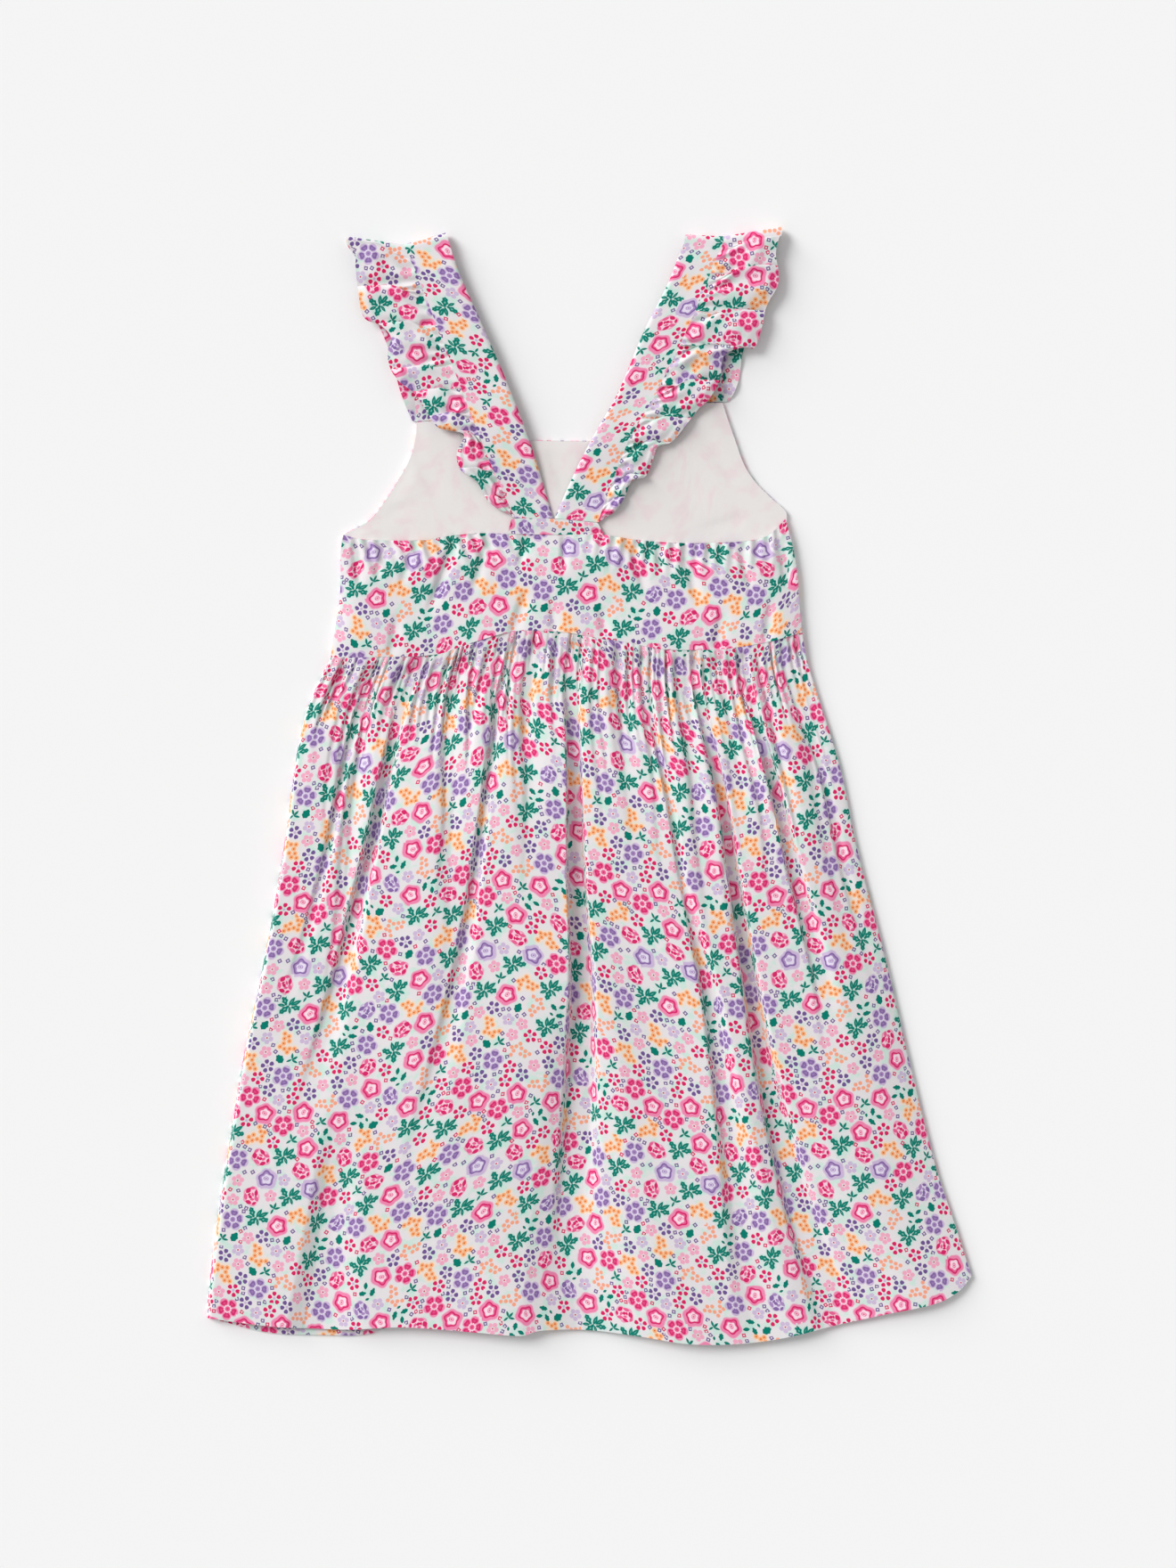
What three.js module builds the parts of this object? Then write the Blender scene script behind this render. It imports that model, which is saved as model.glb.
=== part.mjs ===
import * as THREE from 'three';

// A toddler sundress that lies flat, face down, so its back shows.
// Millimetres. X runs to the right, Y from hem to shoulder and Z up from the surface it lies on.

// Driving sizes
const CLOTH = 1.2;              // wall of the flat and folded pieces
const GATHERED_CLOTH = 1.6;     // wall of the gathered panel, measured straight up
const SEAM_GAP = 0.3;           // between pieces that are sewn to each other
const LAYER_GAP = 0.3;          // between pieces that lie on each other
const GATHERS = 62;             // across the back of the waist seam
const GATHER_HEIGHT = 0.8;      // half of a gather's height at the seam
const GATHER_REACH = 0.17;      // share of the skirt's length that the gathers run down
const SKIRT_LIFT = 4.2;         // how far the folds stand above the panel's resting height
const PUCKERS = 19;             // along the elastic in the back's top edge
const PUCKER_HEIGHT = 0.9;
const RUFFLE_LIFT = 3.4;        // height of the waves at a ruffle's free edge, back half
const RUFFLE_LIFT_UNDER = 1.3;  // and front half, which the back half lies on
const WAVES_BACK = 9;           // ruffle waves from the strap band to the shoulder
const WAVES_FRONT = 6;          // ruffle waves from the shoulder to the front bodice
const LINING_SET_BACK = 1.2;    // the outer cloth shows past the lining by this much
const SHOULDER_STRETCH = 0.1;   // share of a strap's back over which it draws in to turn over

// How the gathered skirt lies. Reaches are shares of its width or of its length.
const SKIRT_FORM = {
  sideRoll: 0.07,               // over this much of the width the sides come down
  seamLift: 0.3,                // share of the lift that is there at the waist seam
  fullLift: 0.16,               // the lift is full from here down
  hemStart: 0.6,                // and goes down again from here
  hemDrop: 0.25,                // by this share at the hem
  seamStep: 0.2,                // mm that the seam lies above the bodice's own level
  seamReach: 0.1,               // below this the panel rests on the front panel
  gatherStart: 0.04,            // the gathers die away from here
  gatherSides: 0.01,            // and at the sides over this much of the width
};

// How a fold comes and goes down the skirt, and how its half width grows
const FOLD_FORM = { before: 0.08, after: 0.1, dyingAway: 0.3, narrowest: 0.75, growth: 0.6 };

// How the elastic draws up the back bodice. Places are shares of its width and height.
const BODICE_FORM = {
  bandPlace: 0.47,              // the strap band holds the top edge flat here
  bandHalf: 0.09,
  puckerStart: 0.1,             // the puckers die away from here
  puckerEnd: 0.75,              // to here
  puckerSides: 0.03,
  slantTurn: 0.45,              // left of this they lean one way, right of it the other
  slantLeft: -0.1,
  slantRight: 0.06,
  waistRise: 0.5,               // mm that the cloth is fuller above the waist seam
};

// Steps that the shapes are worked out in
const WAIST_STEPS = 30;         // shared by the flat pieces along the waist seam
const FRONT_ROWS = 8;
const BODICE_ROWS = 5;
const STEPS_A_PUCKER = 4;
const BAND_STEPS = { across: 8, down: 2 };
const FRONT_STEPS = { side: 22, neckline: 18 };
const STRAP_STEPS = { back: 18, front: 8, across: 3 };
const RUFFLE_STEPS = { aWaveBack: 6, aWaveFront: 5, across: 3 };
const FOLD_TURNS = [0.25, 0.5, 0.75];

// Heights of the middle of each layer
const Z_FLOOR_LAYER = CLOTH / 2;
const Z_LINING = CLOTH + LAYER_GAP + CLOTH / 2;
const Z_BACK = Z_LINING + CLOTH / 2 + LAYER_GAP + CLOTH / 2;
const Z_SKIRT_EDGE = CLOTH + LAYER_GAP + GATHERED_CLOTH / 2;

// Where the outlines' own zero lies from the middle of the whole dress
const CENTRE = { x: -0.5, y: -0.1 };

// Outlines, each run from left to right or from top to bottom
const WAIST = [
  { x: -145, y: 71.5 }, { x: -121, y: 71.5 }, { x: -86, y: 73 }, { x: -66, y: 79.5 },
  { x: -41, y: 86 }, { x: -16, y: 85.5 }, { x: 0, y: 83 }, { x: 22, y: 79.5 },
  { x: 39, y: 76 }, { x: 59, y: 75.5 }, { x: 79, y: 76.5 }, { x: 102, y: 80.5 },
  { x: 119, y: 85.5 },
];
const SKIRT_LEFT = [
  { x: -145, y: 71.5 }, { x: -153, y: 55.5 }, { x: -159, y: 40.5 }, { x: -165.5, y: 10.5 },
  { x: -171.5, y: -34.5 }, { x: -182, y: -94.5 }, { x: -194.5, y: -154.5 },
  { x: -204.5, y: -214.5 }, { x: -211, y: -259.5 }, { x: -215, y: -298.5 },
];
const SKIRT_RIGHT = [
  { x: 119, y: 85.5 }, { x: 121.5, y: 70.5 }, { x: 126, y: 55.5 }, { x: 140, y: 10.5 },
  { x: 149.5, y: -34.5 }, { x: 165, y: -94.5 }, { x: 179, y: -154.5 }, { x: 194, y: -214.5 },
  { x: 204, y: -244.5 }, { x: 214, y: -275.5 },
];
const HEM_BACK = [
  { x: -215, y: -298.5 }, { x: -180, y: -303 }, { x: -140, y: -305 }, { x: -105, y: -303.5 },
  { x: -61, y: -306.5 }, { x: -38, y: -308 }, { x: -28, y: -305.5 }, { x: -2, y: -305.5 },
  { x: 26, y: -308.5 }, { x: 59, y: -313 }, { x: 97, y: -311.5 }, { x: 137, y: -303 },
  { x: 166, y: -296.5 }, { x: 195, y: -290 }, { x: 207, y: -283.5 }, { x: 214, y: -275.5 },
];
const HEM_FRONT = [
  { x: -215, y: -298.5 }, { x: -181, y: -307 }, { x: -150, y: -308.5 }, { x: -124, y: -308 },
  { x: -104, y: -301 }, { x: 0, y: -301 }, { x: 100, y: -302 }, { x: 160, y: -294 },
  { x: 214, y: -275.5 },
];
const BODICE_TOP = [
  { x: -138, y: 140 }, { x: -127, y: 137.5 }, { x: -91, y: 137 }, { x: -82, y: 139 },
  { x: -60, y: 141 }, { x: -46, y: 140.5 }, { x: -20, y: 140 }, { x: 8, y: 140 },
  { x: 24, y: 137.5 }, { x: 49, y: 135.5 }, { x: 69, y: 135.5 }, { x: 91, y: 137 },
  { x: 101, y: 140.5 }, { x: 109.5, y: 149 },
];
const BODICE_LEFT = [
  { x: -138, y: 140 }, { x: -139.5, y: 130.5 }, { x: -139.5, y: 115.5 },
  { x: -140.5, y: 100.5 }, { x: -143, y: 86 }, { x: -145, y: 71.5 },
];
const BODICE_RIGHT = [
  { x: 109.5, y: 149 }, { x: 113.5, y: 134.5 }, { x: 116.5, y: 115.5 },
  { x: 117.5, y: 100.5 }, { x: 119, y: 85.5 },
];
const BAND_TOP = [{ x: -44, y: 147.2 }, { x: -38, y: 148.4 }, { x: -20, y: 148.4 }, { x: 4, y: 146 }];
const BAND_BOTTOM = [{ x: -46, y: 140.8 }, { x: -20, y: 140.3 }, { x: 8, y: 140.3 }];

// The front bodice above the waist: left side and armhole, neckline, right armhole and side
const FRONT_LEFT = [
  { x: -145, y: 71.8 }, { x: -143, y: 86 }, { x: -140.5, y: 100.5 }, { x: -139.5, y: 115.5 },
  { x: -139.5, y: 130.5 }, { x: -138.5, y: 139.5 }, { x: -134.5, y: 142.5 }, { x: -123, y: 149 },
  { x: -115.5, y: 158.5 }, { x: -108, y: 170 }, { x: -100.5, y: 184 }, { x: -97.5, y: 196 },
  { x: -97, y: 203.5 },
];
const NECKLINE = [
  { x: -73, y: 205.5 }, { x: -71.5, y: 197 }, { x: -64, y: 193.6 }, { x: -32, y: 193.3 },
  { x: 0, y: 193 }, { x: 38, y: 193.6 }, { x: 48, y: 198 }, { x: 51.5, y: 214.5 },
];
const FRONT_RIGHT = [
  { x: 74.5, y: 214.5 }, { x: 77, y: 206.5 }, { x: 80.5, y: 196.5 }, { x: 86.5, y: 180 },
  { x: 93, y: 170 }, { x: 102, y: 161 }, { x: 110, y: 153.5 }, { x: 110.5, y: 147 },
  { x: 113.5, y: 134.5 }, { x: 116.5, y: 115.5 }, { x: 117.5, y: 100.5 }, { x: 119, y: 85.8 },
];

// Each strap: its two long edges on the back from the band up, and on the front from the shoulder down
const STRAPS = {
  left: {
    inner: [{ x: -20.4, y: 149.2 }, { x: -32.5, y: 189 }, { x: -46, y: 224.5 }, { x: -60, y: 257 },
      { x: -74, y: 289 }, { x: -80.5, y: 309.5 }],
    outer: [{ x: -42, y: 149.4 }, { x: -56.5, y: 182 }, { x: -71.5, y: 220.5 }, { x: -86, y: 258 },
      { x: -96, y: 284 }, { x: -103.5, y: 303 }],
    innerFront: [{ x: -80.5, y: 309.5 }, { x: -77, y: 260 }, { x: -73, y: 205.8 }],
    outerFront: [{ x: -103.5, y: 303 }, { x: -100, y: 255 }, { x: -97, y: 203.8 }],
  },
  right: {
    inner: [{ x: -19.8, y: 149.2 }, { x: -11.5, y: 168.5 }, { x: 0, y: 191.5 }, { x: 15.5, y: 219 },
      { x: 29.5, y: 252 }, { x: 45, y: 283.5 }, { x: 53.5, y: 308.5 }],
    outer: [{ x: 4.5, y: 147 }, { x: 9.5, y: 161 }, { x: 21.5, y: 192 }, { x: 36, y: 217 },
      { x: 50.5, y: 246.5 }, { x: 64.5, y: 278 }, { x: 74.5, y: 307.5 }],
    innerFront: [{ x: 53.5, y: 308.5 }, { x: 53, y: 260 }, { x: 51.5, y: 214.8 }],
    outerFront: [{ x: 74.5, y: 307.5 }, { x: 75, y: 262 }, { x: 74.5, y: 214.8 }],
  },
};

// Each ruffle's free edge: on the back from the band up, and on the front from the shoulder down
const RUFFLES = {
  left: {
    edge: [{ x: -45.5, y: 151.5 }, { x: -51.5, y: 154.5 }, { x: -57.5, y: 159.5 }, { x: -63.5, y: 170 },
      { x: -72, y: 176 }, { x: -74.5, y: 185 }, { x: -70.5, y: 196 }, { x: -85, y: 200 },
      { x: -92, y: 210.5 }, { x: -98, y: 219 }, { x: -107, y: 226 }, { x: -112, y: 234 },
      { x: -113, y: 243 }, { x: -111, y: 250 }, { x: -117, y: 257 }, { x: -126, y: 261 },
      { x: -129, y: 272 }, { x: -131, y: 290 }, { x: -131, y: 297 }, { x: -136, y: 307.5 }],
    edgeFront: [{ x: -136, y: 307.5 }, { x: -127, y: 285 }, { x: -120, y: 262 }, { x: -111, y: 240 },
      { x: -107, y: 223 }, { x: -103, y: 212 }, { x: -99.5, y: 204.2 }],
  },
  right: {
    edge: [{ x: 8.5, y: 149.5 }, { x: 14.5, y: 153.5 }, { x: 20, y: 162 }, { x: 23.5, y: 170 },
      { x: 31, y: 172.5 }, { x: 35.5, y: 182.5 }, { x: 38, y: 189 }, { x: 46, y: 192 },
      { x: 54, y: 201.5 }, { x: 61, y: 210.5 }, { x: 67, y: 216 }, { x: 73, y: 228 },
      { x: 75, y: 240 }, { x: 86, y: 245 }, { x: 92, y: 244.5 }, { x: 96, y: 255 },
      { x: 99, y: 268 }, { x: 105, y: 279 }, { x: 105.5, y: 287 }, { x: 104, y: 298 },
      { x: 107, y: 313 }],
    edgeFront: [{ x: 107, y: 313 }, { x: 100, y: 288 }, { x: 92, y: 262 }, { x: 85.5, y: 241 },
      { x: 84, y: 229 }, { x: 80.5, y: 219 }, { x: 77.5, y: 215.2 }],
  },
};

// The skirt's large folds: where each runs at the waist, halfway and at the hem as a share of the
// panel's width, its depth in mm, its half width, and where it starts and fades as shares of the length
const FOLDS = [
  { waist: 0.082, middle: 0.040, hem: 0.020, depth: 2.2, half: 5, start: 0.00, fade: 0.55 },
  { waist: 0.175, middle: 0.114, hem: 0.045, depth: 3.4, half: 7, start: 0.00, fade: 0.80 },
  { waist: 0.160, middle: 0.155, hem: 0.127, depth: 2.2, half: 7, start: 0.70, fade: 1.10 },
  { waist: 0.390, middle: 0.298, hem: 0.215, depth: 3.2, half: 8, start: 0.00, fade: 0.85 },
  { waist: 0.505, middle: 0.492, hem: 0.430, depth: 4.4, half: 9, start: 0.00, fade: 1.20 },
  { waist: 0.600, middle: 0.700, hem: 0.760, depth: 1.8, half: 7, start: 0.00, fade: 0.35 },
  { waist: 0.735, middle: 0.762, hem: 0.798, depth: 4.0, half: 8, start: 0.00, fade: 1.20 },
  { waist: 0.660, middle: 0.688, hem: 0.708, depth: 2.4, half: 7, start: 0.38, fade: 0.95 },
  { waist: 0.862, middle: 0.860, hem: 0.850, depth: 2.8, half: 6, start: 0.03, fade: 0.60 },
  { waist: 0.955, middle: 0.965, hem: 0.970, depth: 1.6, half: 5, start: 0.00, fade: 0.90 },
];

// A smooth line through a table of points, as a function of the share of the way along it
function line(points) {
  const last = points.length - 1;
  const at = [0];
  for (let i = 1; i <= last; i += 1) {
    at.push(at[i - 1] + Math.hypot(points[i].x - points[i - 1].x, points[i].y - points[i - 1].y));
  }
  const slope = (i, axis) => {
    const before = Math.max(i - 1, 0);
    const after = Math.min(i + 1, last);
    return (points[after][axis] - points[before][axis]) / (at[after] - at[before]);
  };
  return (share) => {
    const run = THREE.MathUtils.clamp(share, 0, 1) * at[last];
    let i = 0;
    while (i < last - 1 && run > at[i + 1]) i += 1;
    const step = at[i + 1] - at[i];
    const t = (run - at[i]) / step;
    const along = (axis) => (2 * t ** 3 - 3 * t ** 2 + 1) * points[i][axis]
      + (t ** 3 - 2 * t ** 2 + t) * step * slope(i, axis)
      + (3 * t ** 2 - 2 * t ** 3) * points[i + 1][axis]
      + (t ** 3 - t ** 2) * step * slope(i + 1, axis);
    return { x: along('x'), y: along('y') };
  };
}

// A panel spread between four edge lines, as a function of the shares across and down it
function panel(top, bottom, left, right) {
  const bow = (side, v, axis) => side(v)[axis] - (1 - v) * side(0)[axis] - v * side(1)[axis];
  return (u, v) => {
    const blend = (axis) => (1 - v) * top(u)[axis] + v * bottom(u)[axis]
      + (1 - u) * bow(left, v, axis) + u * bow(right, v, axis);
    return { x: blend('x'), y: blend('y') };
  };
}

const shares = (count) => Array.from({ length: count + 1 }, (_, i) => i / count);
const moved = (run, dx, dy) => (share) => ({ x: run(share).x + dx, y: run(share).y + dy });
const mix = (a, b, t) => ({ x: a.x + (b.x - a.x) * t, y: a.y + (b.y - a.y) * t });
const smooth = (low, high, value) => THREE.MathUtils.smoothstep(value, low, high);
const wave = (count, share) => 0.5 - 0.5 * Math.cos(2 * Math.PI * count * share);

// A closed wall of cloth. Each row of points runs across the piece and may have its own number of
// points; a point holds its place and the way its outer face looks.
function wall(rows, thickness) {
  const position = [];
  const index = [];
  const faces = [1, -1].map((side) => rows.map((row) => row.map((point) => {
    const reach = (side * thickness) / 2;
    position.push(point.x + point.nx * reach, point.y + point.ny * reach, point.z + point.nz * reach);
    return position.length / 3 - 1;
  })));
  const [outer, inner] = faces;
  const join = (a, b, flip) => {
    let i = 0;
    let j = 0;
    while (i < a.length - 1 || j < b.length - 1) {
      const stepA = i < a.length - 1 ? (i + 1) / (a.length - 1) : Infinity;
      const stepB = j < b.length - 1 ? (j + 1) / (b.length - 1) : Infinity;
      const third = stepA <= stepB ? a[i + 1] : b[j + 1];
      index.push(...(flip ? [a[i], third, b[j]] : [a[i], b[j], third]));
      if (stepA <= stepB) i += 1;
      else j += 1;
    }
  };
  for (let r = 0; r < rows.length - 1; r += 1) {
    join(outer[r], outer[r + 1], false);
    join(inner[r], inner[r + 1], true);
  }
  const first = (row) => row[0];
  const end = (row) => row[row.length - 1];
  join(inner[0], outer[0], false);
  join(outer[rows.length - 1], inner[rows.length - 1], false);
  join(outer.map(first), inner.map(first), false);
  join(outer.map(end), inner.map(end), true);
  const geometry = new THREE.BufferGeometry();
  geometry.setAttribute('position', new THREE.Float32BufferAttribute(position, 3));
  geometry.setIndex(volume(position, index) < 0 ? index.reverse() : index);
  geometry.computeVertexNormals();
  return geometry;
}

function volume(position, index) {
  const corner = (i) => new THREE.Vector3(...position.slice(3 * index[i], 3 * index[i] + 3));
  let total = 0;
  for (let i = 0; i < index.length; i += 3) {
    total += corner(i).dot(corner(i + 1).cross(corner(i + 2)));
  }
  return total / 6;
}

// A flat sheet cut to a closed outline, its underside at the given height
function flatSheet(outline, bottom) {
  const shape = new THREE.Shape(outline.map((point) => new THREE.Vector2(point.x, point.y)));
  const geometry = new THREE.ExtrudeGeometry(shape, { depth: CLOTH, bevelEnabled: false });
  return geometry.translate(0, 0, bottom);
}

// The same outline, drawn in by a margin
function setBack(outline, margin) {
  const turn = Math.sign(THREE.ShapeUtils.area(outline));
  return outline.map((point, i) => {
    const before = outline[(i + outline.length - 1) % outline.length];
    const after = outline[(i + 1) % outline.length];
    const length = Math.hypot(after.x - before.x, after.y - before.y);
    return {
      x: point.x - (turn * margin * (after.y - before.y)) / length,
      y: point.y + (turn * margin * (after.x - before.x)) / length,
    };
  });
}

// Materials
const finish = (color) => new THREE.MeshStandardMaterial({ color, roughness: 0.9, metalness: 0 });
const PRINT = 0xe3c3cf;
const PALE = 0xf0ecea;
const dress = new THREE.Group();
dress.position.set(-CENTRE.x, -CENTRE.y, 0);

function add(name, geometry, color) {
  const piece = new THREE.Mesh(geometry, finish(color));
  piece.name = name;
  dress.add(piece);
}

// Back skirt
const skirtTop = moved(line(WAIST), 0, -SEAM_GAP);
const skirt = panel(skirtTop, line(HEM_BACK), line(SKIRT_LEFT), line(SKIRT_RIGHT));

function foldDepth(u, v, width) {
  return FOLDS.reduce((total, fold) => {
    const down = THREE.MathUtils.clamp(v, 0, 1);
    const course = down < 0.5
      ? THREE.MathUtils.lerp(fold.waist, fold.middle, down * 2)
      : THREE.MathUtils.lerp(fold.middle, fold.hem, down * 2 - 1);
    const half = fold.half * (FOLD_FORM.narrowest + FOLD_FORM.growth * v);
    const across = ((u - course) * width) / half;
    const begun = smooth(fold.start - FOLD_FORM.before, fold.start + FOLD_FORM.after, v);
    const ended = smooth(fold.fade - FOLD_FORM.dyingAway, fold.fade, v);
    return total + fold.depth * begun * (1 - ended) * Math.exp(-across * across);
  }, 0);
}

function skirtHeight(u, v, width) {
  const form = SKIRT_FORM;
  const edge = smooth(0, form.sideRoll, u) * smooth(0, form.sideRoll, 1 - u);
  const risen = THREE.MathUtils.lerp(form.seamLift, 1, smooth(0, form.fullLift, v));
  const lift = SKIRT_LIFT * edge * risen * (1 - form.hemDrop * smooth(form.hemStart, 1, v));
  const rest = THREE.MathUtils.lerp(Z_BACK + form.seamStep, Z_SKIRT_EDGE, smooth(0, form.seamReach, v));
  const fading = 1 - smooth(form.gatherStart, GATHER_REACH, v);
  const inside = smooth(0, form.gatherSides, Math.min(u, 1 - u));
  const gather = GATHER_HEIGHT * Math.cos(2 * Math.PI * GATHERS * u) * fading * inside;
  const folded = Math.max(lift - edge * foldDepth(u, v, width), 0);
  return Math.max(rest + folded + gather, Z_SKIRT_EDGE);
}

const SKIRT_ROWS = [
  { down: 0, columns: 4 * GATHERS }, { down: 0.025, columns: 4 * GATHERS },
  { down: 0.07, columns: 4 * GATHERS }, { down: 0.12, columns: 2 * GATHERS },
  { down: GATHER_REACH, columns: 70 }, { down: 0.25, columns: 70 }, { down: 0.35, columns: 70 },
  { down: 0.46, columns: 70 }, { down: 0.57, columns: 70 }, { down: 0.68, columns: 70 },
  { down: 0.79, columns: 70 }, { down: 0.9, columns: 70 }, { down: 1, columns: 70 },
];
const backSkirtRows = SKIRT_ROWS.map(({ down, columns }) => {
  const width = skirt(1, down).x - skirt(0, down).x;
  return shares(columns).map((u) => ({
    ...skirt(u, down), z: skirtHeight(u, down, width), nx: 0, ny: 0, nz: 1,
  }));
});
add('back_skirt', wall(backSkirtRows, GATHERED_CLOTH), PRINT);

// Front skirt, face down on the surface
const frontSkirt = panel(skirtTop, line(HEM_FRONT), line(SKIRT_LEFT), line(SKIRT_RIGHT));
const flatRows = (spread, columns, rows, z) => shares(rows).map((v) => shares(columns)
  .map((u) => ({ ...spread(u, v), z, nx: 0, ny: 0, nz: 1 })));
add('front_skirt', wall(flatRows(frontSkirt, WAIST_STEPS, FRONT_ROWS, Z_FLOOR_LAYER), CLOTH), PRINT);

// Back bodice, drawn up by the elastic in its top edge
const bodice = panel(line(BODICE_TOP), line(WAIST), line(BODICE_LEFT), line(BODICE_RIGHT));

function bodiceHeight(u, v) {
  const form = BODICE_FORM;
  const slant = u + (u < form.slantTurn ? form.slantLeft : form.slantRight) * v;
  const free = 1 - Math.exp(-(((u - form.bandPlace) / form.bandHalf) ** 2));
  const fading = 1 - smooth(form.puckerStart, form.puckerEnd, v);
  const inside = smooth(0, form.puckerSides, Math.min(u, 1 - u));
  const pucker = PUCKER_HEIGHT * free * fading * inside * wave(PUCKERS, slant);
  return Z_BACK + pucker + form.waistRise * v * free;
}

const backBodiceRows = shares(BODICE_ROWS).map((v) => shares(STEPS_A_PUCKER * PUCKERS)
  .map((u) => ({ ...bodice(u, v), z: bodiceHeight(u, v), nx: 0, ny: 0, nz: 1 })));
add('back_bodice', wall(backBodiceRows, CLOTH), PRINT);

// Strap band
const band = panel(
  line(BAND_TOP), line(BAND_BOTTOM),
  line([BAND_TOP[0], BAND_BOTTOM[0]]), line([BAND_TOP.at(-1), BAND_BOTTOM.at(-1)]),
);
add('strap_band', wall(flatRows(band, BAND_STEPS.across, BAND_STEPS.down, Z_BACK), CLOTH), PRINT);

// Front bodice, face down, with its lining on top
const sample = (points, count) => shares(count).map(line(points));
const waistAcross = sample(WAIST, WAIST_STEPS).reverse();
const frontOutline = [
  ...sample(FRONT_LEFT, FRONT_STEPS.side), ...sample(NECKLINE, FRONT_STEPS.neckline),
  ...sample(FRONT_RIGHT, FRONT_STEPS.side),
  ...waistAcross.slice(1, -1),
];
add('front_bodice', flatSheet(frontOutline, 0), PRINT);
add('front_lining', flatSheet(setBack(frontOutline, LINING_SET_BACK), CLOTH + LAYER_GAP), PALE);

// A strip that runs up the back, turns over the shoulder and runs down the front. The section at each
// station goes from a near point to a far point, and lift raises it off the strip's own level.
const FOLD_RADIUS = (Z_BACK - Z_FLOOR_LAYER) / 2;
const FOLD_HEIGHT = (Z_BACK + Z_FLOOR_LAYER) / 2;

function overShoulder(edges, counts, lift) {
  const across = shares(counts.across);
  const top = { near: edges.near(1), far: edges.far(1) };
  const length = Math.hypot(top.far.x - top.near.x, top.far.y - top.near.y);
  const side = Math.sign(top.far.x - top.near.x);
  const out = {
    x: (-side * (top.far.y - top.near.y)) / length,
    y: (side * (top.far.x - top.near.x)) / length,
  };
  const sink = FOLD_RADIUS + CLOTH / 2;
  const lowered = (point, share) => ({
    x: point.x - out.x * sink * share,
    y: point.y - out.y * sink * share,
  });
  const back = shares(counts.back).map((s) => across.map((v) => {
    const point = lowered(mix(edges.near(s), edges.far(s), v), smooth(1 - SHOULDER_STRETCH, 1, s));
    return { ...point, z: Z_BACK + lift.back(s, v), nx: 0, ny: 0, nz: 1 };
  }));
  const fold = FOLD_TURNS.map((turn) => across.map((v) => {
    const angle = Math.PI * turn;
    const point = lowered(mix(top.near, top.far, v), 1);
    const reach = FOLD_RADIUS * Math.sin(angle);
    return {
      x: point.x + out.x * reach, y: point.y + out.y * reach,
      z: FOLD_HEIGHT + FOLD_RADIUS * Math.cos(angle),
      nx: out.x * Math.sin(angle), ny: out.y * Math.sin(angle), nz: Math.cos(angle),
    };
  }));
  const front = shares(counts.front).map((s) => across.map((v) => {
    const point = lowered(mix(edges.nearFront(s), edges.farFront(s), v), 1 - smooth(0, SHOULDER_STRETCH, s));
    return { ...point, z: Z_FLOOR_LAYER + lift.front(s, v), nx: 0, ny: 0, nz: -1 };
  }));
  return [...back, ...fold, ...front];
}

const flat = { back: () => 0, front: () => 0 };
const towards = (from, to, gap) => (share) => {
  const a = from(share);
  const b = to(share);
  const length = Math.hypot(b.x - a.x, b.y - a.y);
  return { x: a.x + ((b.x - a.x) * gap) / length, y: a.y + ((b.y - a.y) * gap) / length };
};

// Straps
for (const [side, table] of Object.entries(STRAPS)) {
  const inner = line(table.inner);
  const outer = line(table.outer);
  const innerFront = line(table.innerFront);
  const outerFront = line(table.outerFront);
  const edges = {
    near: inner, far: towards(outer, inner, SEAM_GAP / 2),
    nearFront: innerFront, farFront: towards(outerFront, innerFront, SEAM_GAP / 2),
  };
  add(`strap_${side}`, wall(overShoulder(edges, STRAP_STEPS, flat), CLOTH), PRINT);
}

// Ruffles, gathered into the straps' outer edges and tapered at both ends
const ruffleLift = {
  back: (s, v) => RUFFLE_LIFT * v * wave(WAVES_BACK, s) * (1 - smooth(1 - SHOULDER_STRETCH, 1, s)),
  front: (s, v) => RUFFLE_LIFT_UNDER * v * wave(WAVES_FRONT, s) * smooth(0, SHOULDER_STRETCH, s),
};
for (const [side, table] of Object.entries(RUFFLES)) {
  const seam = line(STRAPS[side].outer);
  const seamFront = line(STRAPS[side].outerFront);
  const edges = {
    near: towards(seam, line(table.edge), SEAM_GAP / 2), far: line(table.edge),
    nearFront: towards(seamFront, line(table.edgeFront), SEAM_GAP / 2), farFront: line(table.edgeFront),
  };
  const { aWaveBack, aWaveFront, across } = RUFFLE_STEPS;
  const counts = { back: aWaveBack * WAVES_BACK, front: aWaveFront * WAVES_FRONT, across };
  add(`ruffle_${side}`, wall(overShoulder(edges, counts, ruffleLift), CLOTH), PRINT);
}

export default dress;
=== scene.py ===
import math

import bpy
import numpy as np
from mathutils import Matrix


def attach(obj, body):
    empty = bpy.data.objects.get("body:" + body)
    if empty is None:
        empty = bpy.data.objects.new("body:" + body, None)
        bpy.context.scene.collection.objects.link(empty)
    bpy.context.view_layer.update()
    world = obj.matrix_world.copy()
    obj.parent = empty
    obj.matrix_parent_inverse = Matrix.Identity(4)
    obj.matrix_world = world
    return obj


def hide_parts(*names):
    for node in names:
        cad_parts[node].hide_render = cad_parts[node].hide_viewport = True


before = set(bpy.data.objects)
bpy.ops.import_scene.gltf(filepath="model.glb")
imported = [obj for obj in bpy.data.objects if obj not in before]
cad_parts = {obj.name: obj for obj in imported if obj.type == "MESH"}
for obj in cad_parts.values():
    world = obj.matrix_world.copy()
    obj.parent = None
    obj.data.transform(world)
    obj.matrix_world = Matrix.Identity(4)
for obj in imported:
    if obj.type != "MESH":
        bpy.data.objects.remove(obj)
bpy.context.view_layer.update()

# A toddler sundress that lies flat, face down, with its back up. The tables below are in
# millimetres, with X to the right, Y from the hem to the shoulders and Z up from the surface.
rng = np.random.default_rng(11)

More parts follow.
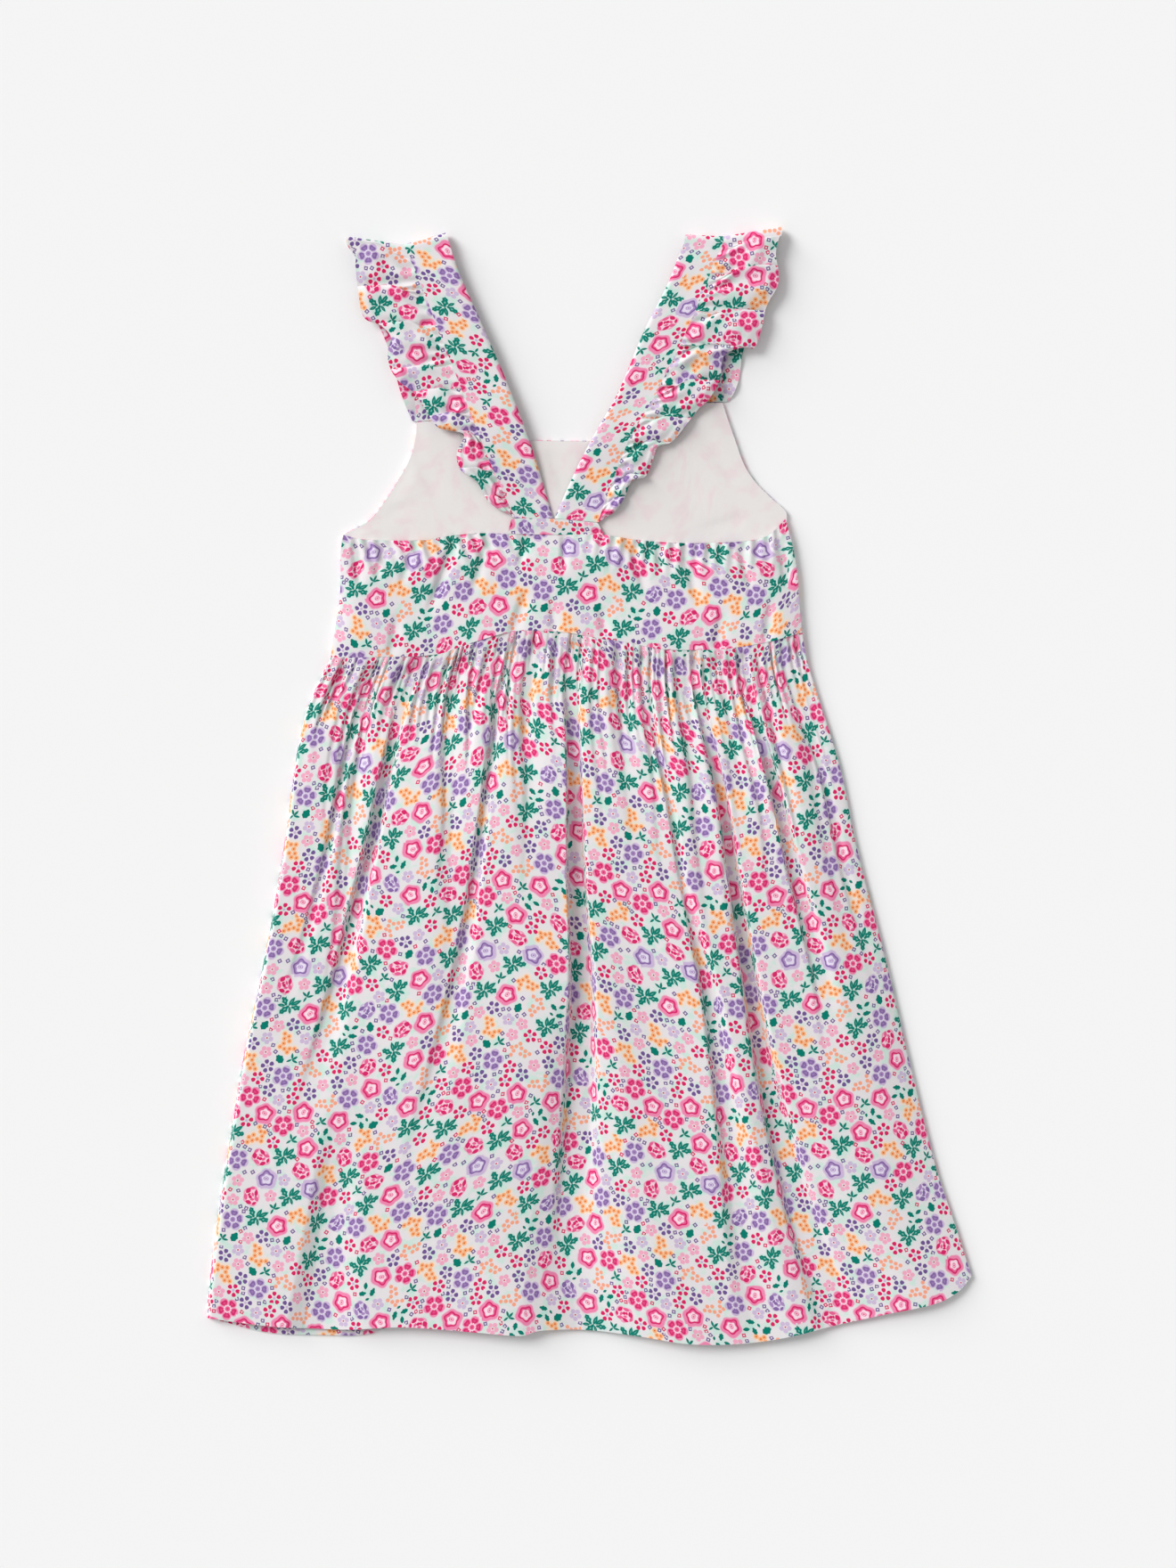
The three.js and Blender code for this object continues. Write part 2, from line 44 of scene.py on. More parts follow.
MM = 0.001
CENTRE = (-0.5, -0.1)           # where the outlines' own zero lies from the middle of the dress
CLOTH = 1.2                     # the wall that the layers' heights are worked out from
LAYER_GAP = 0.3
SEAM_GAP = 0.08                 # what shows as open between the bodice and the skirt
SKIRT_WALL = 1.6
THIN = 0.5                      # the cloth that shows
SKIRT_CLOTH = 452.0             # width of the flat cloth in the back of the skirt
SIDE_ROLL = {"left": 0.008, "right": 0.14}  # shares of the skirt's width in which its sides turn down
CREASES = 58
GATHERS = 64
COLUMNS_PER_GATHER = 7
GATHER_HEIGHT = 1.0
GATHER_REACH = 0.17
SKIRT_LIFT = 9.8                # the soft folds stand higher than those of the plain solid
PUCKERS = 19
PUCKER_HEIGHT = 2.3
STRAP_RISE = 3.1                # the straps arch off the layers under them
STRAP_CROWN = 1.1
RUFFLE_LIFT = 4.6
RUFFLE_LIFT_UNDER = 1.3
LINING_SET_BACK = 0.4

Z_FLOOR_LAYER = CLOTH / 2
Z_LINING = 1.5 * CLOTH + LAYER_GAP
Z_BACK = Z_LINING + CLOTH + LAYER_GAP
Z_SKIRT_EDGE = CLOTH + LAYER_GAP + SKIRT_WALL / 2

# Outlines, each from left to right or from top to bottom, as x and y
WAIST = [
    (-145, 71.5), (-121, 71.5), (-86, 73), (-66, 79.5), (-41, 86), (-16, 85.5), (0, 83),
    (22, 79.5), (39, 76), (59, 75.5), (79, 76.5), (102, 80.5), (119, 85.5),
]
SKIRT_LEFT = [
    (-145, 71.5), (-153, 55.5), (-159, 40.5), (-165.5, 10.5), (-171.5, -34.5), (-182, -94.5),
    (-194.5, -154.5), (-204.5, -214.5), (-211, -259.5), (-215, -298.5),
]
SKIRT_RIGHT = [
    (119, 85.5), (121.5, 70.5), (126, 55.5), (140, 10.5), (149.5, -34.5), (165, -94.5),
    (179, -154.5), (194, -214.5), (204, -244.5), (214, -275.5),
]
HEM_BACK = [
    (-215, -298.5), (-180, -303), (-140, -305), (-105, -303.5), (-61, -306.5), (-38, -308),
    (-28, -305.5), (-2, -305.5), (26, -308.5), (59, -313), (97, -311.5), (137, -303),
    (166, -296.5), (195, -290), (207, -283.5), (214, -275.5),
]
HEM_FRONT = [
    (-215, -298.5), (-181, -307), (-150, -308.5), (-124, -308), (-104, -301), (0, -301),
    (100, -302), (160, -294), (214, -275.5),
]
BODICE_TOP = [
    (-138, 140), (-127, 137.5), (-91, 137), (-82, 139), (-60, 141), (-46, 140.5), (-20, 140),
    (8, 140), (24, 137.5), (49, 135.5), (69, 135.5), (91, 137), (101, 140.5), (109.5, 149),
]
BODICE_LEFT = [
    (-138, 140), (-139.5, 130.5), (-139.5, 115.5), (-140.5, 100.5), (-143, 86), (-145, 71.5),
]
BODICE_RIGHT = [(109.5, 149), (113.5, 134.5), (116.5, 115.5), (117.5, 100.5), (119, 85.5)]
BAND_TOP = [(-44, 148.6), (-40, 149.2), (-20, 149.0), (4.4, 146.8)]
BAND_BOTTOM = [(-46, 140.6), (-20, 140.1), (8, 140.1)]
FRONT_LEFT = [
    (-97, 203.5), (-97.5, 196), (-100.5, 184), (-108, 170), (-115.5, 158.5), (-123, 149),
    (-134.5, 142.5), (-138.5, 139.5), (-139.5, 130.5), (-139.5, 115.5), (-140.5, 100.5),
    (-143, 86), (-145, 71.8),
]
NECKLINE = [
    (-97, 203.5), (-85, 204.5), (-73, 205.5), (-71.5, 197), (-64, 193.6), (-32, 193.3), (0, 193),
    (38, 193.6), (48, 198), (51.5, 214.5), (63, 214.5), (74.5, 214.5),
]
FRONT_RIGHT = [
    (74.5, 214.5), (77, 206.5), (80.5, 196.5), (86.5, 180), (93, 170), (102, 161), (110, 153.5),
    (110.5, 147), (113.5, 134.5), (116.5, 115.5), (117.5, 100.5), (119, 85.8),
]

# Each strap's long edges, up the back from the band and down the front from the shoulder
STRAPS = {
    "left": {
        "inner": [(-20.4, 149.2), (-32.5, 189), (-46, 224.5), (-60, 257), (-74, 289),
                  (-80.5, 309.5)],
        "outer": [(-42, 149.4), (-56.5, 182), (-71.5, 220.5), (-86, 258), (-96, 284),
                  (-103.5, 303)],
        "inner_front": [(-80.5, 309.5), (-77, 260), (-73, 205.8)],
        "outer_front": [(-103.5, 303), (-100, 255), (-97, 203.8)],
    },
    "right": {
        "inner": [(-19.8, 149.2), (-11.5, 168.5), (0, 191.5), (15.5, 219), (29.5, 252),
                  (45, 283.5), (53.5, 308.5)],
        "outer": [(4.5, 147), (9.5, 161), (21.5, 192), (36, 217), (50.5, 246.5), (64.5, 278),
                  (74.5, 307.5)],
        "inner_front": [(53.5, 308.5), (53, 260), (51.5, 214.8)],
        "outer_front": [(74.5, 307.5), (75, 262), (74.5, 214.8)],
    },
}

# Each ruffle's free edge, and the shares of the way up the back where a wave folds over
RUFFLES = {
    "left": {
        "edge": [(-45.5, 151.5), (-51.5, 154.5), (-57.5, 159.5), (-63.5, 170), (-72, 176),
                 (-74.5, 185), (-70.5, 196), (-85, 200), (-92, 210.5), (-98, 219), (-107, 226),
                 (-112, 234), (-113, 243), (-111, 250), (-117, 257), (-126, 261), (-129, 272),
                 (-131, 290), (-131, 297), (-136, 307.5)],
        "edge_front": [(-136, 307.5), (-127, 285), (-120, 262), (-111, 240), (-107, 223),
                       (-103, 212), (-99.5, 204.2)],
        "folds": [0.0, 0.075, 0.175, 0.30, 0.39, 0.475, 0.56, 0.70, 0.83, 1.0],
    },
    "right": {
        "edge": [(8.5, 149.5), (14.5, 153.5), (20, 162), (23.5, 170), (31, 172.5), (35.5, 182.5),
                 (38, 189), (46, 192), (54, 201.5), (61, 210.5), (67, 216), (73, 228), (75, 240),
                 (86, 245), (92, 244.5), (96, 255), (99, 268), (105, 279), (105.5, 287),
                 (104, 298), (107, 313)],
        "edge_front": [(107, 313), (100, 288), (92, 262), (85.5, 241), (84, 229), (80.5, 219),
                       (77.5, 215.2)],
        "folds": [0.0, 0.07, 0.155, 0.27, 0.36, 0.48, 0.62, 0.74, 0.87, 1.0],
    },
}

# The skirt's large folds: their course at the waist, halfway and at the hem as shares of the width,
# depth, width of the floor, widths of the left and right walls, how much the left wall widens by the
# hem in mm (the right one widens 3.5 times as much), and start and fade down it
FOLDS = [
    (0.112, 0.046, 0.025, 4.2, 1.5, 2.0, 5.0, 3.0, 0.00, 0.60),
    (0.187, 0.124, 0.052, 7.4, 4.0, 2.0, 4.5, 9.0, 0.00, 0.76),
    (0.165, 0.160, 0.134, 3.8, 3.0, 4.0, 6.0, 6.0, 0.74, 1.70),
    (0.398, 0.306, 0.225, 4.0, 1.5, 2.2, 5.0, 9.0, 0.00, 0.86),
    (0.522, 0.508, 0.470, 10.5, 8.5, 1.5, 2.2, 6.0, 0.00, 0.98),
    (0.522, 0.505, 0.486, 3.8, 4.0, 12.0, 10.0, 14.0, 0.55, 1.90),
    (0.655, 0.715, 0.735, 4.5, 1.2, 1.8, 4.0, 2.0, 0.00, 0.56),
    (0.770, 0.780, 0.800, 9.0, 5.0, 1.5, 2.4, 4.0, 0.00, 1.12),
    (0.770, 0.780, 0.815, 2.8, 3.0, 8.0, 8.0, 12.0, 0.62, 1.90),
    (0.680, 0.708, 0.715, 5.0, 2.5, 2.0, 4.0, 7.0, 0.40, 1.14),
    (0.872, 0.885, 0.870, 8.5, 5.0, 1.6, 3.5, 9.0, 0.04, 0.66),
    (0.950, 0.975, 0.990, 5.0, 2.0, 1.8, 5.0, 4.0, 0.00, 0.60),
]

# Creases that the gathering presses in under the waist seam: both ends, depth and half width
SEAM_CREASES = [
    (-98, 73, -110, 30, 2.6, 1.9), (-87, 74, -91, 28, 2.0, 1.6), (-75, 76, -79, 40, 1.6, 1.5),
    (-56, 78, -68, 30, 2.4, 1.8), (-41, 86, -49, 32, 2.6, 1.8), (-32, 85, -38, 22, 2.8, 1.8),
    (-20, 85, -22, 44, 1.6, 1.5), (14, 81, 19, 24, 2.4, 1.8), (27, 77, 36, 10, 2.4, 1.9),
    (47, 76, 60, 26, 2.8, 2.0), (68, 76, 78, 40, 2.0, 1.6), (84, 77, 92, 30, 2.4, 1.8),
    (106, 81, 122, 30, 2.8, 2.0), (-120, 71, -134, 26, 2.4, 1.9), (-136, 71, -149, 34, 2.0, 1.7),
]


# Curves and panels

def line(points):
    """A smooth line through a table of points, as a function of the share of the way along it."""
    spots = np.array(points, float)
    at = np.concatenate([[0], np.cumsum(np.hypot(*np.diff(spots, axis=0).T))])
    before = np.concatenate([spots[:1], spots[:-1]])
    after = np.concatenate([spots[1:], spots[-1:]])
    span = np.concatenate([at[1:], at[-1:]]) - np.concatenate([at[:1], at[:-1]])
    slopes = (after - before) / span[:, None]

    def run(share):
        along = np.clip(np.asarray(share, float), 0, 1) * at[-1]
        i = np.clip(np.searchsorted(at, along, side="left") - 1, 0, len(at) - 2)
        step = (at[i + 1] - at[i])[..., None]
        t = (along - at[i])[..., None] / step
        return (
            (2 * t**3 - 3 * t**2 + 1) * spots[i]
            + (t**3 - 2 * t**2 + t) * step * slopes[i]
            + (3 * t**2 - 2 * t**3) * spots[i + 1]
            + (t**3 - t**2) * step * slopes[i + 1]
        )

    return run


def panel(top, bottom, left, right):
    """A panel spread between four edge lines, as a function of the shares across and down it."""
    def bow(side, v):
        return side(v) - (1 - v[..., None]) * side(0.0) - v[..., None] * side(1.0)

    def run(u, v):
        w = v[..., None]
        return (
            (1 - w) * top(u) + w * bottom(u)
            + (1 - u[..., None]) * bow(left, v) + u[..., None] * bow(right, v)
        )

    return run


def smooth(low, high, value):
    t = np.clip((value - low) / (high - low), 0, 1)
    return t * t * (3 - 2 * t)


def grid_of(across, down):
    """Shares across and down a piece, as two arrays with a row for each step down."""
    return np.meshgrid(np.asarray(across, float), np.asarray(down, float))


def moved(run, dx, dy):
    return lambda share: run(share) + np.array([dx, dy])


def drawn_in(run, margin):
    """The same line, moved to the right of its own direction by a margin."""
    def inner(share):
        share = np.asarray(share, float)
        step = run(share + 0.01) - run(share - 0.01)
        return run(share) + margin * np.stack([step[..., 1], -step[..., 0]], -1) / np.hypot(
            step[..., 0], step[..., 1])[..., None]

    return inner


def low_hills(x, y, count, size, height):
    """Soft uneven ground: a sum of long waves in seeded directions."""
    total = np.zeros_like(x)
    for turn, phase, stretch in zip(rng.uniform(0, math.tau, count), rng.uniform(0, math.tau, count),
                                    rng.uniform(0.7, 1.5, count)):
        along = x * math.cos(turn) + y * math.sin(turn)
        total += np.sin(along * math.tau / (size * stretch) + phase)
    return height * total / math.sqrt(count)


# The print: a repeat of motifs, laid out so that none covers another
REPEAT = 120.0
CELL = 0.5
LARGE = {  # name: number in a repeat, radius, and how far it may turn
    "rose": (10, 6.1, 3.2), "pink_petals": (5, 6.2, 3.2), "pink_peony": (8, 5.9, 3.2),
    "purple_petals": (8, 6.2, 3.2), "purple_rose": (2, 5.9, 3.2), "purple_peony": (2, 5.7, 3.2),
    "orange_cluster": (9, 6.0, 3.2), "pale_cluster": (6, 6.0, 3.2), "leaf_spray": (11, 6.3, 0.5),
}
SMALL = {
    "magenta_petals": (18, 3.8, 3.2), "violet_petals": (10, 3.8, 3.2), "pale_pink": (13, 3.7, 3.2),
    "pale_lilac": (10, 3.7, 3.2), "sprig": (8, 3.2, 0.9), "single_leaf": (6, 3.1, 3.2),
    "leaf_group": (5, 4.8, 3.2), "violet_square": (84, 1.35, 3.2), "magenta_square": (30, 1.35, 3.2),
}
APART = 0.8                     # between the rims of two motifs
ALIKE_APART = 8.0               # more between large motifs of one kind
ROUNDS = 420


def laid_out():
    """Kind, radius, layer, place, turn and chance of each motif in one repeat."""
    rows = [
        (kind, radius, table is LARGE, most)
        for table in (LARGE, SMALL)
        for kind, (count, radius, most) in enumerate(table.values())
        for _ in range(count)
    ]
    kinds, radii, large, most = (np.array(column) for column in zip(*rows))
    spots = rng.uniform(0, REPEAT, (len(rows), 2))
    near = radii[:, None] + radii[None, :] + APART
    near += ALIKE_APART * ((kinds[:, None] == kinds) & large[:, None] & large)
    yields = radii**2 / (radii**2 + radii[:, None] ** 2)
    for _ in range(ROUNDS):
        apart = spots[:, None] - spots
        apart -= REPEAT * np.round(apart / REPEAT)
        distance = np.hypot(apart[..., 0], apart[..., 1]) + np.eye(len(rows)) * REPEAT
        push = np.clip(near - distance, 0, None) * yields
        spots = (spots + 0.5 * (apart * (push / distance)[..., None]).sum(1)) % REPEAT
    turns = rng.uniform(-most, most)
    return kinds, radii, large, spots, turns, rng.uniform(0.05, 0.9, len(rows))


KINDS, RADII, IS_LARGE, SPOTS, TURNS, CHANCE = laid_out()


def nearest_motifs(large):
    """For each small cell of the repeat, the motif whose rim is nearest."""
    side = int(REPEAT / CELL)
    middles = (np.arange(side) + 0.5) * CELL
    x, y = np.meshgrid(middles, middles, indexing="ij")
    best, choice = np.full((side, side), np.inf), np.zeros((side, side), int)
    for motif in np.flatnonzero(IS_LARGE == large):
        dx, dy = x - SPOTS[motif, 0], y - SPOTS[motif, 1]
        dx -= REPEAT * np.round(dx / REPEAT)
        dy -= REPEAT * np.round(dy / REPEAT)
        rim = np.hypot(dx, dy) - RADII[motif]
        closer = rim < best
        best[closer], choice[closer] = rim[closer], motif
    return choice


NEAREST = {"print_large": nearest_motifs(True), "print_small": nearest_motifs(False)}


def motif_coordinates(layer, middles, corners, owner):
    """Each face corner's place in its face's motif, with the motif's kind and chance as a code."""
    cells = ((middles % REPEAT) / CELL).astype(int) % int(REPEAT / CELL)
    motif = NEAREST[layer][cells[:, 0], cells[:, 1]]
    nearest = SPOTS[motif] + REPEAT * np.round((middles - SPOTS[motif]) / REPEAT)
    offset = corners - nearest[owner]
    turn = TURNS[motif][owner]
    code = (KINDS[motif] + CHANCE[motif])[owner]
    return np.stack([
        offset[:, 0] * np.cos(turn) + offset[:, 1] * np.sin(turn),
        offset[:, 1] * np.cos(turn) - offset[:, 0] * np.sin(turn),
        code,
    ], -1)


# Meshes
CRISP_EDGE = math.radians(60)
STEEPEST = 14.0                 # most that a slope counts for when it takes up the cloth's width


def gathered_coordinates(grid, flat_width, start):
    """Where each point of a gathered panel lies in the flat cloth. The cloth is equally wide in each
    row, so its steep stretches take up what the row itself is narrower."""
    plan = np.linalg.norm(np.diff(grid[..., :2], axis=1), axis=-1)
    rise = np.diff(grid[..., 2], axis=1)
    low, high = np.zeros((len(grid), 1)), np.full((len(grid), 1), STEEPEST)
    for _ in range(24):
        steep = (low + high) / 2
        wide = np.hypot(plan, rise * steep).sum(1, keepdims=True) > flat_width
        low, high = np.where(wide, low, steep), np.where(wide, steep, high)
    step = np.hypot(plan, rise * low)
    s = np.concatenate([np.zeros((len(grid), 1)), np.cumsum(step, 1)], 1)
    s = flat_width * (s / s[:, -1:] - 0.5)
    for _ in range(3):
        padded = np.pad(s, ((3, 3), (0, 0)), mode="edge")
        s = np.mean([padded[k:k + len(s)] for k in range(7)], 0)
    down = np.linalg.norm(np.diff(grid[..., :2], axis=0), axis=-1)
    t = np.concatenate([np.zeros((1, grid.shape[1])), np.cumsum(down, 0)], 0)
    return np.stack([s + start[0], start[1] - t], -1)


def arc_coordinates(grid, start):
    """Where each point of a laid piece lies in the flat cloth, from its distances along the piece."""
    across = np.linalg.norm(np.diff(grid, axis=1), axis=-1)
    down = np.linalg.norm(np.diff(grid, axis=0), axis=-1)
    s = np.concatenate([np.zeros((grid.shape[0], 1)), np.cumsum(across, 1)], 1)
    s -= s[:, [grid.shape[1] // 2]]
    t = np.concatenate([np.zeros((1, grid.shape[1])), np.cumsum(down, 0)], 0)
    return np.stack([s + start[0], start[1] - t], -1)


def shell(name, grid, cloth, below, node, material, coarser=1):
    """A closed thin piece of cloth: a fine top, a coarser underside and its edges.
    grid and below are rows of points in mm; cloth is where each lies in the flat cloth."""
    rows, columns = grid.shape[:2]
    fine = np.arange(rows * columns).reshape(rows, columns)
    low_grid = below[::coarser, ::coarser]
    low_rows, low_columns = low_grid.shape[:2]
    low = np.arange(low_rows * low_columns).reshape(low_rows, low_columns) + rows * columns
    quads = np.concatenate([
        np.stack([fine[:-1, :-1], fine[1:, :-1], fine[1:, 1:], fine[:-1, 1:]], -1).reshape(-1, 4),
        np.stack([low[:-1, :-1], low[:-1, 1:], low[1:, 1:], low[1:, :-1]], -1).reshape(-1, 4),
    ])

    def rim(a):
        return np.concatenate([a[0, :-1], a[:-1, -1], a[-1, :0:-1], a[:0:-1, 0]])

    upper, lower = rim(fine), rim(low)
    triangles = []
    for k in range(len(lower)):
        after = lower[(k + 1) % len(lower)]
        for j in range(k * coarser, (k + 1) * coarser):
            triangles.append((upper[j], upper[(j + 1) % len(upper)], lower[k]))
        triangles.append((upper[(k + 1) * coarser % len(upper)], after, lower[k]))
    triangles = np.array(triangles)

    places = np.concatenate([grid.reshape(-1, 3), low_grid.reshape(-1, 3)])
    places = (places - np.array([*CENTRE, 0])) * MM
    mesh = bpy.data.meshes.new(name)
    mesh.from_pydata(places.tolist(), [], quads.tolist() + triangles.tolist())

    flat = np.concatenate([cloth.reshape(-1, 2), cloth[::coarser, ::coarser].reshape(-1, 2)])
    middles = np.concatenate([flat[quads].mean(1), flat[triangles].mean(1)])
    owner = np.concatenate([np.repeat(np.arange(len(quads)), 4),
                            len(quads) + np.repeat(np.arange(len(triangles)), 3)])
    corners = np.concatenate([flat[quads].reshape(-1, 2), flat[triangles].reshape(-1, 2)])
    for layer in NEAREST:
        values = motif_coordinates(layer, middles, corners, owner)
        spread = mesh.attributes.new(layer, "FLOAT_VECTOR", "CORNER")
        spread.data.foreach_set("vector", values.astype(np.float32).ravel())
    weave = mesh.attributes.new("cloth", "FLOAT_VECTOR", "CORNER")
    weave.data.foreach_set("vector", np.pad(corners, ((0, 0), (0, 1))).astype(np.float32).ravel())
    mesh.shade_smooth()
    mesh.set_sharp_from_angle(angle=CRISP_EDGE)
    return finish_piece(name, mesh, node, material)


def finish_piece(name, mesh, node, material):
    mesh.materials.append(material)
    piece = bpy.data.objects.new(name, mesh)
    bpy.context.scene.collection.objects.link(piece)
    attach(piece, "root")
    if node:
        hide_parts(node)
    return piece


# Shader formulas

class Field:
    """A number that varies over a surface, so that a material's formulas read as formulas."""

    def __init__(self, tree, socket):
        self.tree, self.socket = tree, socket

    def math(self, operation, *others, clamp=False):
        node = self.tree.nodes.new("ShaderNodeMath")
        node.operation = operation
        node.use_clamp = clamp
        for slot, value in zip(node.inputs, (self, *others)):
            if isinstance(value, Field):
                self.tree.links.new(value.socket, slot)
            else:
                slot.default_value = value
        return Field(self.tree, node.outputs[0])

    def __add__(self, other):
        return self.math("ADD", other)

    def __sub__(self, other):
        return self.math("SUBTRACT", other)

    def __mul__(self, other):
        return self.math("MULTIPLY", other)

    def __truediv__(self, other):
        return self.math("DIVIDE", other)

    def __abs__(self):
        return self.math("ABSOLUTE")

    def within(self, edge, soft=0.14):
        """1 where this is under the edge, falling to 0 across a soft rim."""
        return (self - edge).math("MULTIPLY_ADD", -0.5 / soft, 0.5, clamp=True)

    def where(self, kind):
        return self.math("COMPARE", kind, 0.5)


def length_of(x, y):
    return (x * x + y * y).math("SQRT")


def colour(code):
    """A hex colour as the shader's linear numbers."""
    channels = [int(code[i:i + 2], 16) / 255 for i in (0, 2, 4)]
    return [c / 12.92 if c <= 0.04045 else ((c + 0.055) / 1.055) ** 2.4 for c in channels] + [1.0]


def mixed(tree, base, over, share):
    """The colour over laid on the colour base; each is a hex code or a socket."""
    node = tree.nodes.new("ShaderNodeMix")
    node.data_type = "RGBA"
    for slot, value in ((node.inputs[6], base), (node.inputs[7], over)):
        if isinstance(value, str):
            slot.default_value = colour(value)
        else:
            tree.links.new(value, slot)
    tree.links.new(share.socket, node.inputs[0])
    return node.outputs[2]


def attribute(tree, name):
    node = tree.nodes.new("ShaderNodeAttribute")
    node.attribute_name = name
    parts = tree.nodes.new("ShaderNodeSeparateXYZ")
    tree.links.new(node.outputs["Vector"], parts.inputs[0])
    return node.outputs["Vector"], [Field(tree, out) for out in parts.outputs]


def combined(tree, x, y, z=None):
    node = tree.nodes.new("ShaderNodeCombineXYZ")
    for slot, value in zip(node.inputs, (x, y, z)):
        if value is not None:
            tree.links.new(value.socket, slot)
    return node.outputs[0]


def noise(tree, vector, scale, detail=2.0, roughness=0.5):
    node = tree.nodes.new("ShaderNodeTexNoise")
    node.inputs["Scale"].default_value = scale
    node.inputs["Detail"].default_value = detail
    node.inputs["Roughness"].default_value = roughness
    tree.links.new(vector, node.inputs["Vector"])
    return Field(tree, node.outputs["Factor" if "Factor" in node.outputs else "Fac"])


def sector(x, y, petals, turn=0.0):
    """Coordinates along and across the petal that a point lies in, for petals round a centre."""
    around = y.math("ARCTAN2", x) * (petals / math.tau) + (0.5 + turn)
    angle = (around.math("FRACT") - 0.5) * (math.tau / petals)
    r = length_of(x, y)
    return r * angle.math("COSINE"), r * angle.math("SINE")


def oval(x, y, centre, half_x, half_y):
    """1 at the rim of an oval whose middle lies on the first axis."""
    return length_of((x - centre) / half_x, y / half_y)


def union(shapes):
    """The nearest of several shapes, each a field that is smaller inside."""
    nearest = None
    for shape in shapes:
        nearest = shape if nearest is None else nearest.math("MINIMUM", shape)
    return nearest


def spots_at(tree, vector, places):
    """Distance from the nearest of several places."""
    def distance(place):
        node = tree.nodes.new("ShaderNodeVectorMath")
        node.operation = "DISTANCE"
        tree.links.new(vector, node.inputs[0])
        node.inputs[1].default_value = (*place, 0.0)
        return Field(tree, node.outputs["Value"])

    return union(distance(place) for place in places)


def leaves_at(tree, vector, table, teeth=0.0):
    """A group of pointed leaves: under 1 inside one. Each row gives a leaf's middle, the angle that
    it points in, and its half length and half width in mm."""
    def leaf(x, y, angle, half_length, half_width):
        node = tree.nodes.new("ShaderNodeMapping")
        node.vector_type = "TEXTURE"
        node.inputs["Location"].default_value = (x, y, 0)
        node.inputs["Rotation"].default_value = (0, 0, math.radians(angle))
        node.inputs["Scale"].default_value = (half_length, half_width, 1)
        tree.links.new(vector, node.inputs["Vector"])
        parts = tree.nodes.new("ShaderNodeSeparateXYZ")
        tree.links.new(node.outputs[0], parts.inputs[0])
        along, across = Field(tree, parts.outputs[0]), Field(tree, parts.outputs[1])
        shape = along.math("MULTIPLY_ADD", along, abs(across))
        return shape + (along * 9.0).math("SINE") * teeth if teeth and half_width > 1.2 else shape

    return union(leaf(*row) for row in table)


PEONY_STRONG = [
    (-3.0, 2.0, 55, 1.9, 1.15), (3.5, 1.1, -50, 1.9, 1.35), (1.2, -2.9, -12, 2.1, 1.0),
    (-0.2, 0.6, 30, 1.4, 0.9), (-4.3, -0.9, 110, 1.4, 0.8), (1.3, 1.0, 110, 1.1, 0.6),
]
PEONY_SOFT = [
    (0.4, 3.1, 0, 2.1, 1.0), (-2.0, -2.6, 20, 1.9, 1.0), (4.4, -1.4, 70, 1.5, 0.9),
    (-1.9, -0.3, 80, 1.3, 0.7), (0.8, -1.0, 10, 1.3, 0.7),
]
SPRAY_LEAVES = [
    (-3.9, 2.2, 138, 3.3, 1.5), (0.0, 3.2, 84, 2.9, 1.1), (2.6, 3.6, 52, 3.2, 1.2),
    (4.3, 1.3, 18, 3.2, 1.4), (-1.4, -2.7, 248, 3.5, 1.6), (-4.1, -1.0, 200, 2.2, 0.9),
    (1.6, -1.5, 305, 2.2, 0.8),
]
GROUP_LEAVES = [
    (-0.6, 2.9, -8, 2.7, 1.3), (-2.9, -1.7, 12, 2.1, 1.1), (1.9, -2.3, -60, 2.3, 1.3),
    (4.0, 1.3, -50, 1.3, 0.7),
]
SPRIG_LEAVES = [
    (-1.6, 1.3, 140, 1.9, 0.65), (0.3, 1.7, 80, 2.0, 0.7), (1.7, 0.4, 20, 1.9, 0.65),
    (-0.9, -1.6, 250, 1.7, 0.6),
]
CLUSTER_DOTS = [
    (-5.3, 0.3), (-3.0, 2.0), (-2.7, -0.7), (-0.3, 1.4), (-0.2, -1.8), (0.9, -4.2), (2.9, -2.3),
    (3.9, 0.4), (5.3, -1.4), (4.9, 2.9),
]

PINK_HALO, HOT_PINK, MID_PINK, BLUSH = "f188b0", "d9286a", "ea6193", "fbdfea"
LILAC_HALO, PURPLE, LILAC, LILAC_WHITE = "ccb6d8", "8567a3", "a889bd", "e4daee"
ORANGE, DARK_ORANGE, PEACH, CREAM = "faae78", "dc5b1a", "f8a486", "f8dcc2"
GREEN, MINT, MAGENTA, VIOLET = "007b6b", "a9e3d6", "da2564", "715692"
PALE_PINK, PALE_LILAC, GROUND, MINT_GROUND = "f4a1be", "cbb5d6", "e6e1e3", "c6e6d8"


def kinds_in(code, table):
    kind = code.math("FLOOR")
    return {name: kind.where(float(i)) for i, name in enumerate(table)}


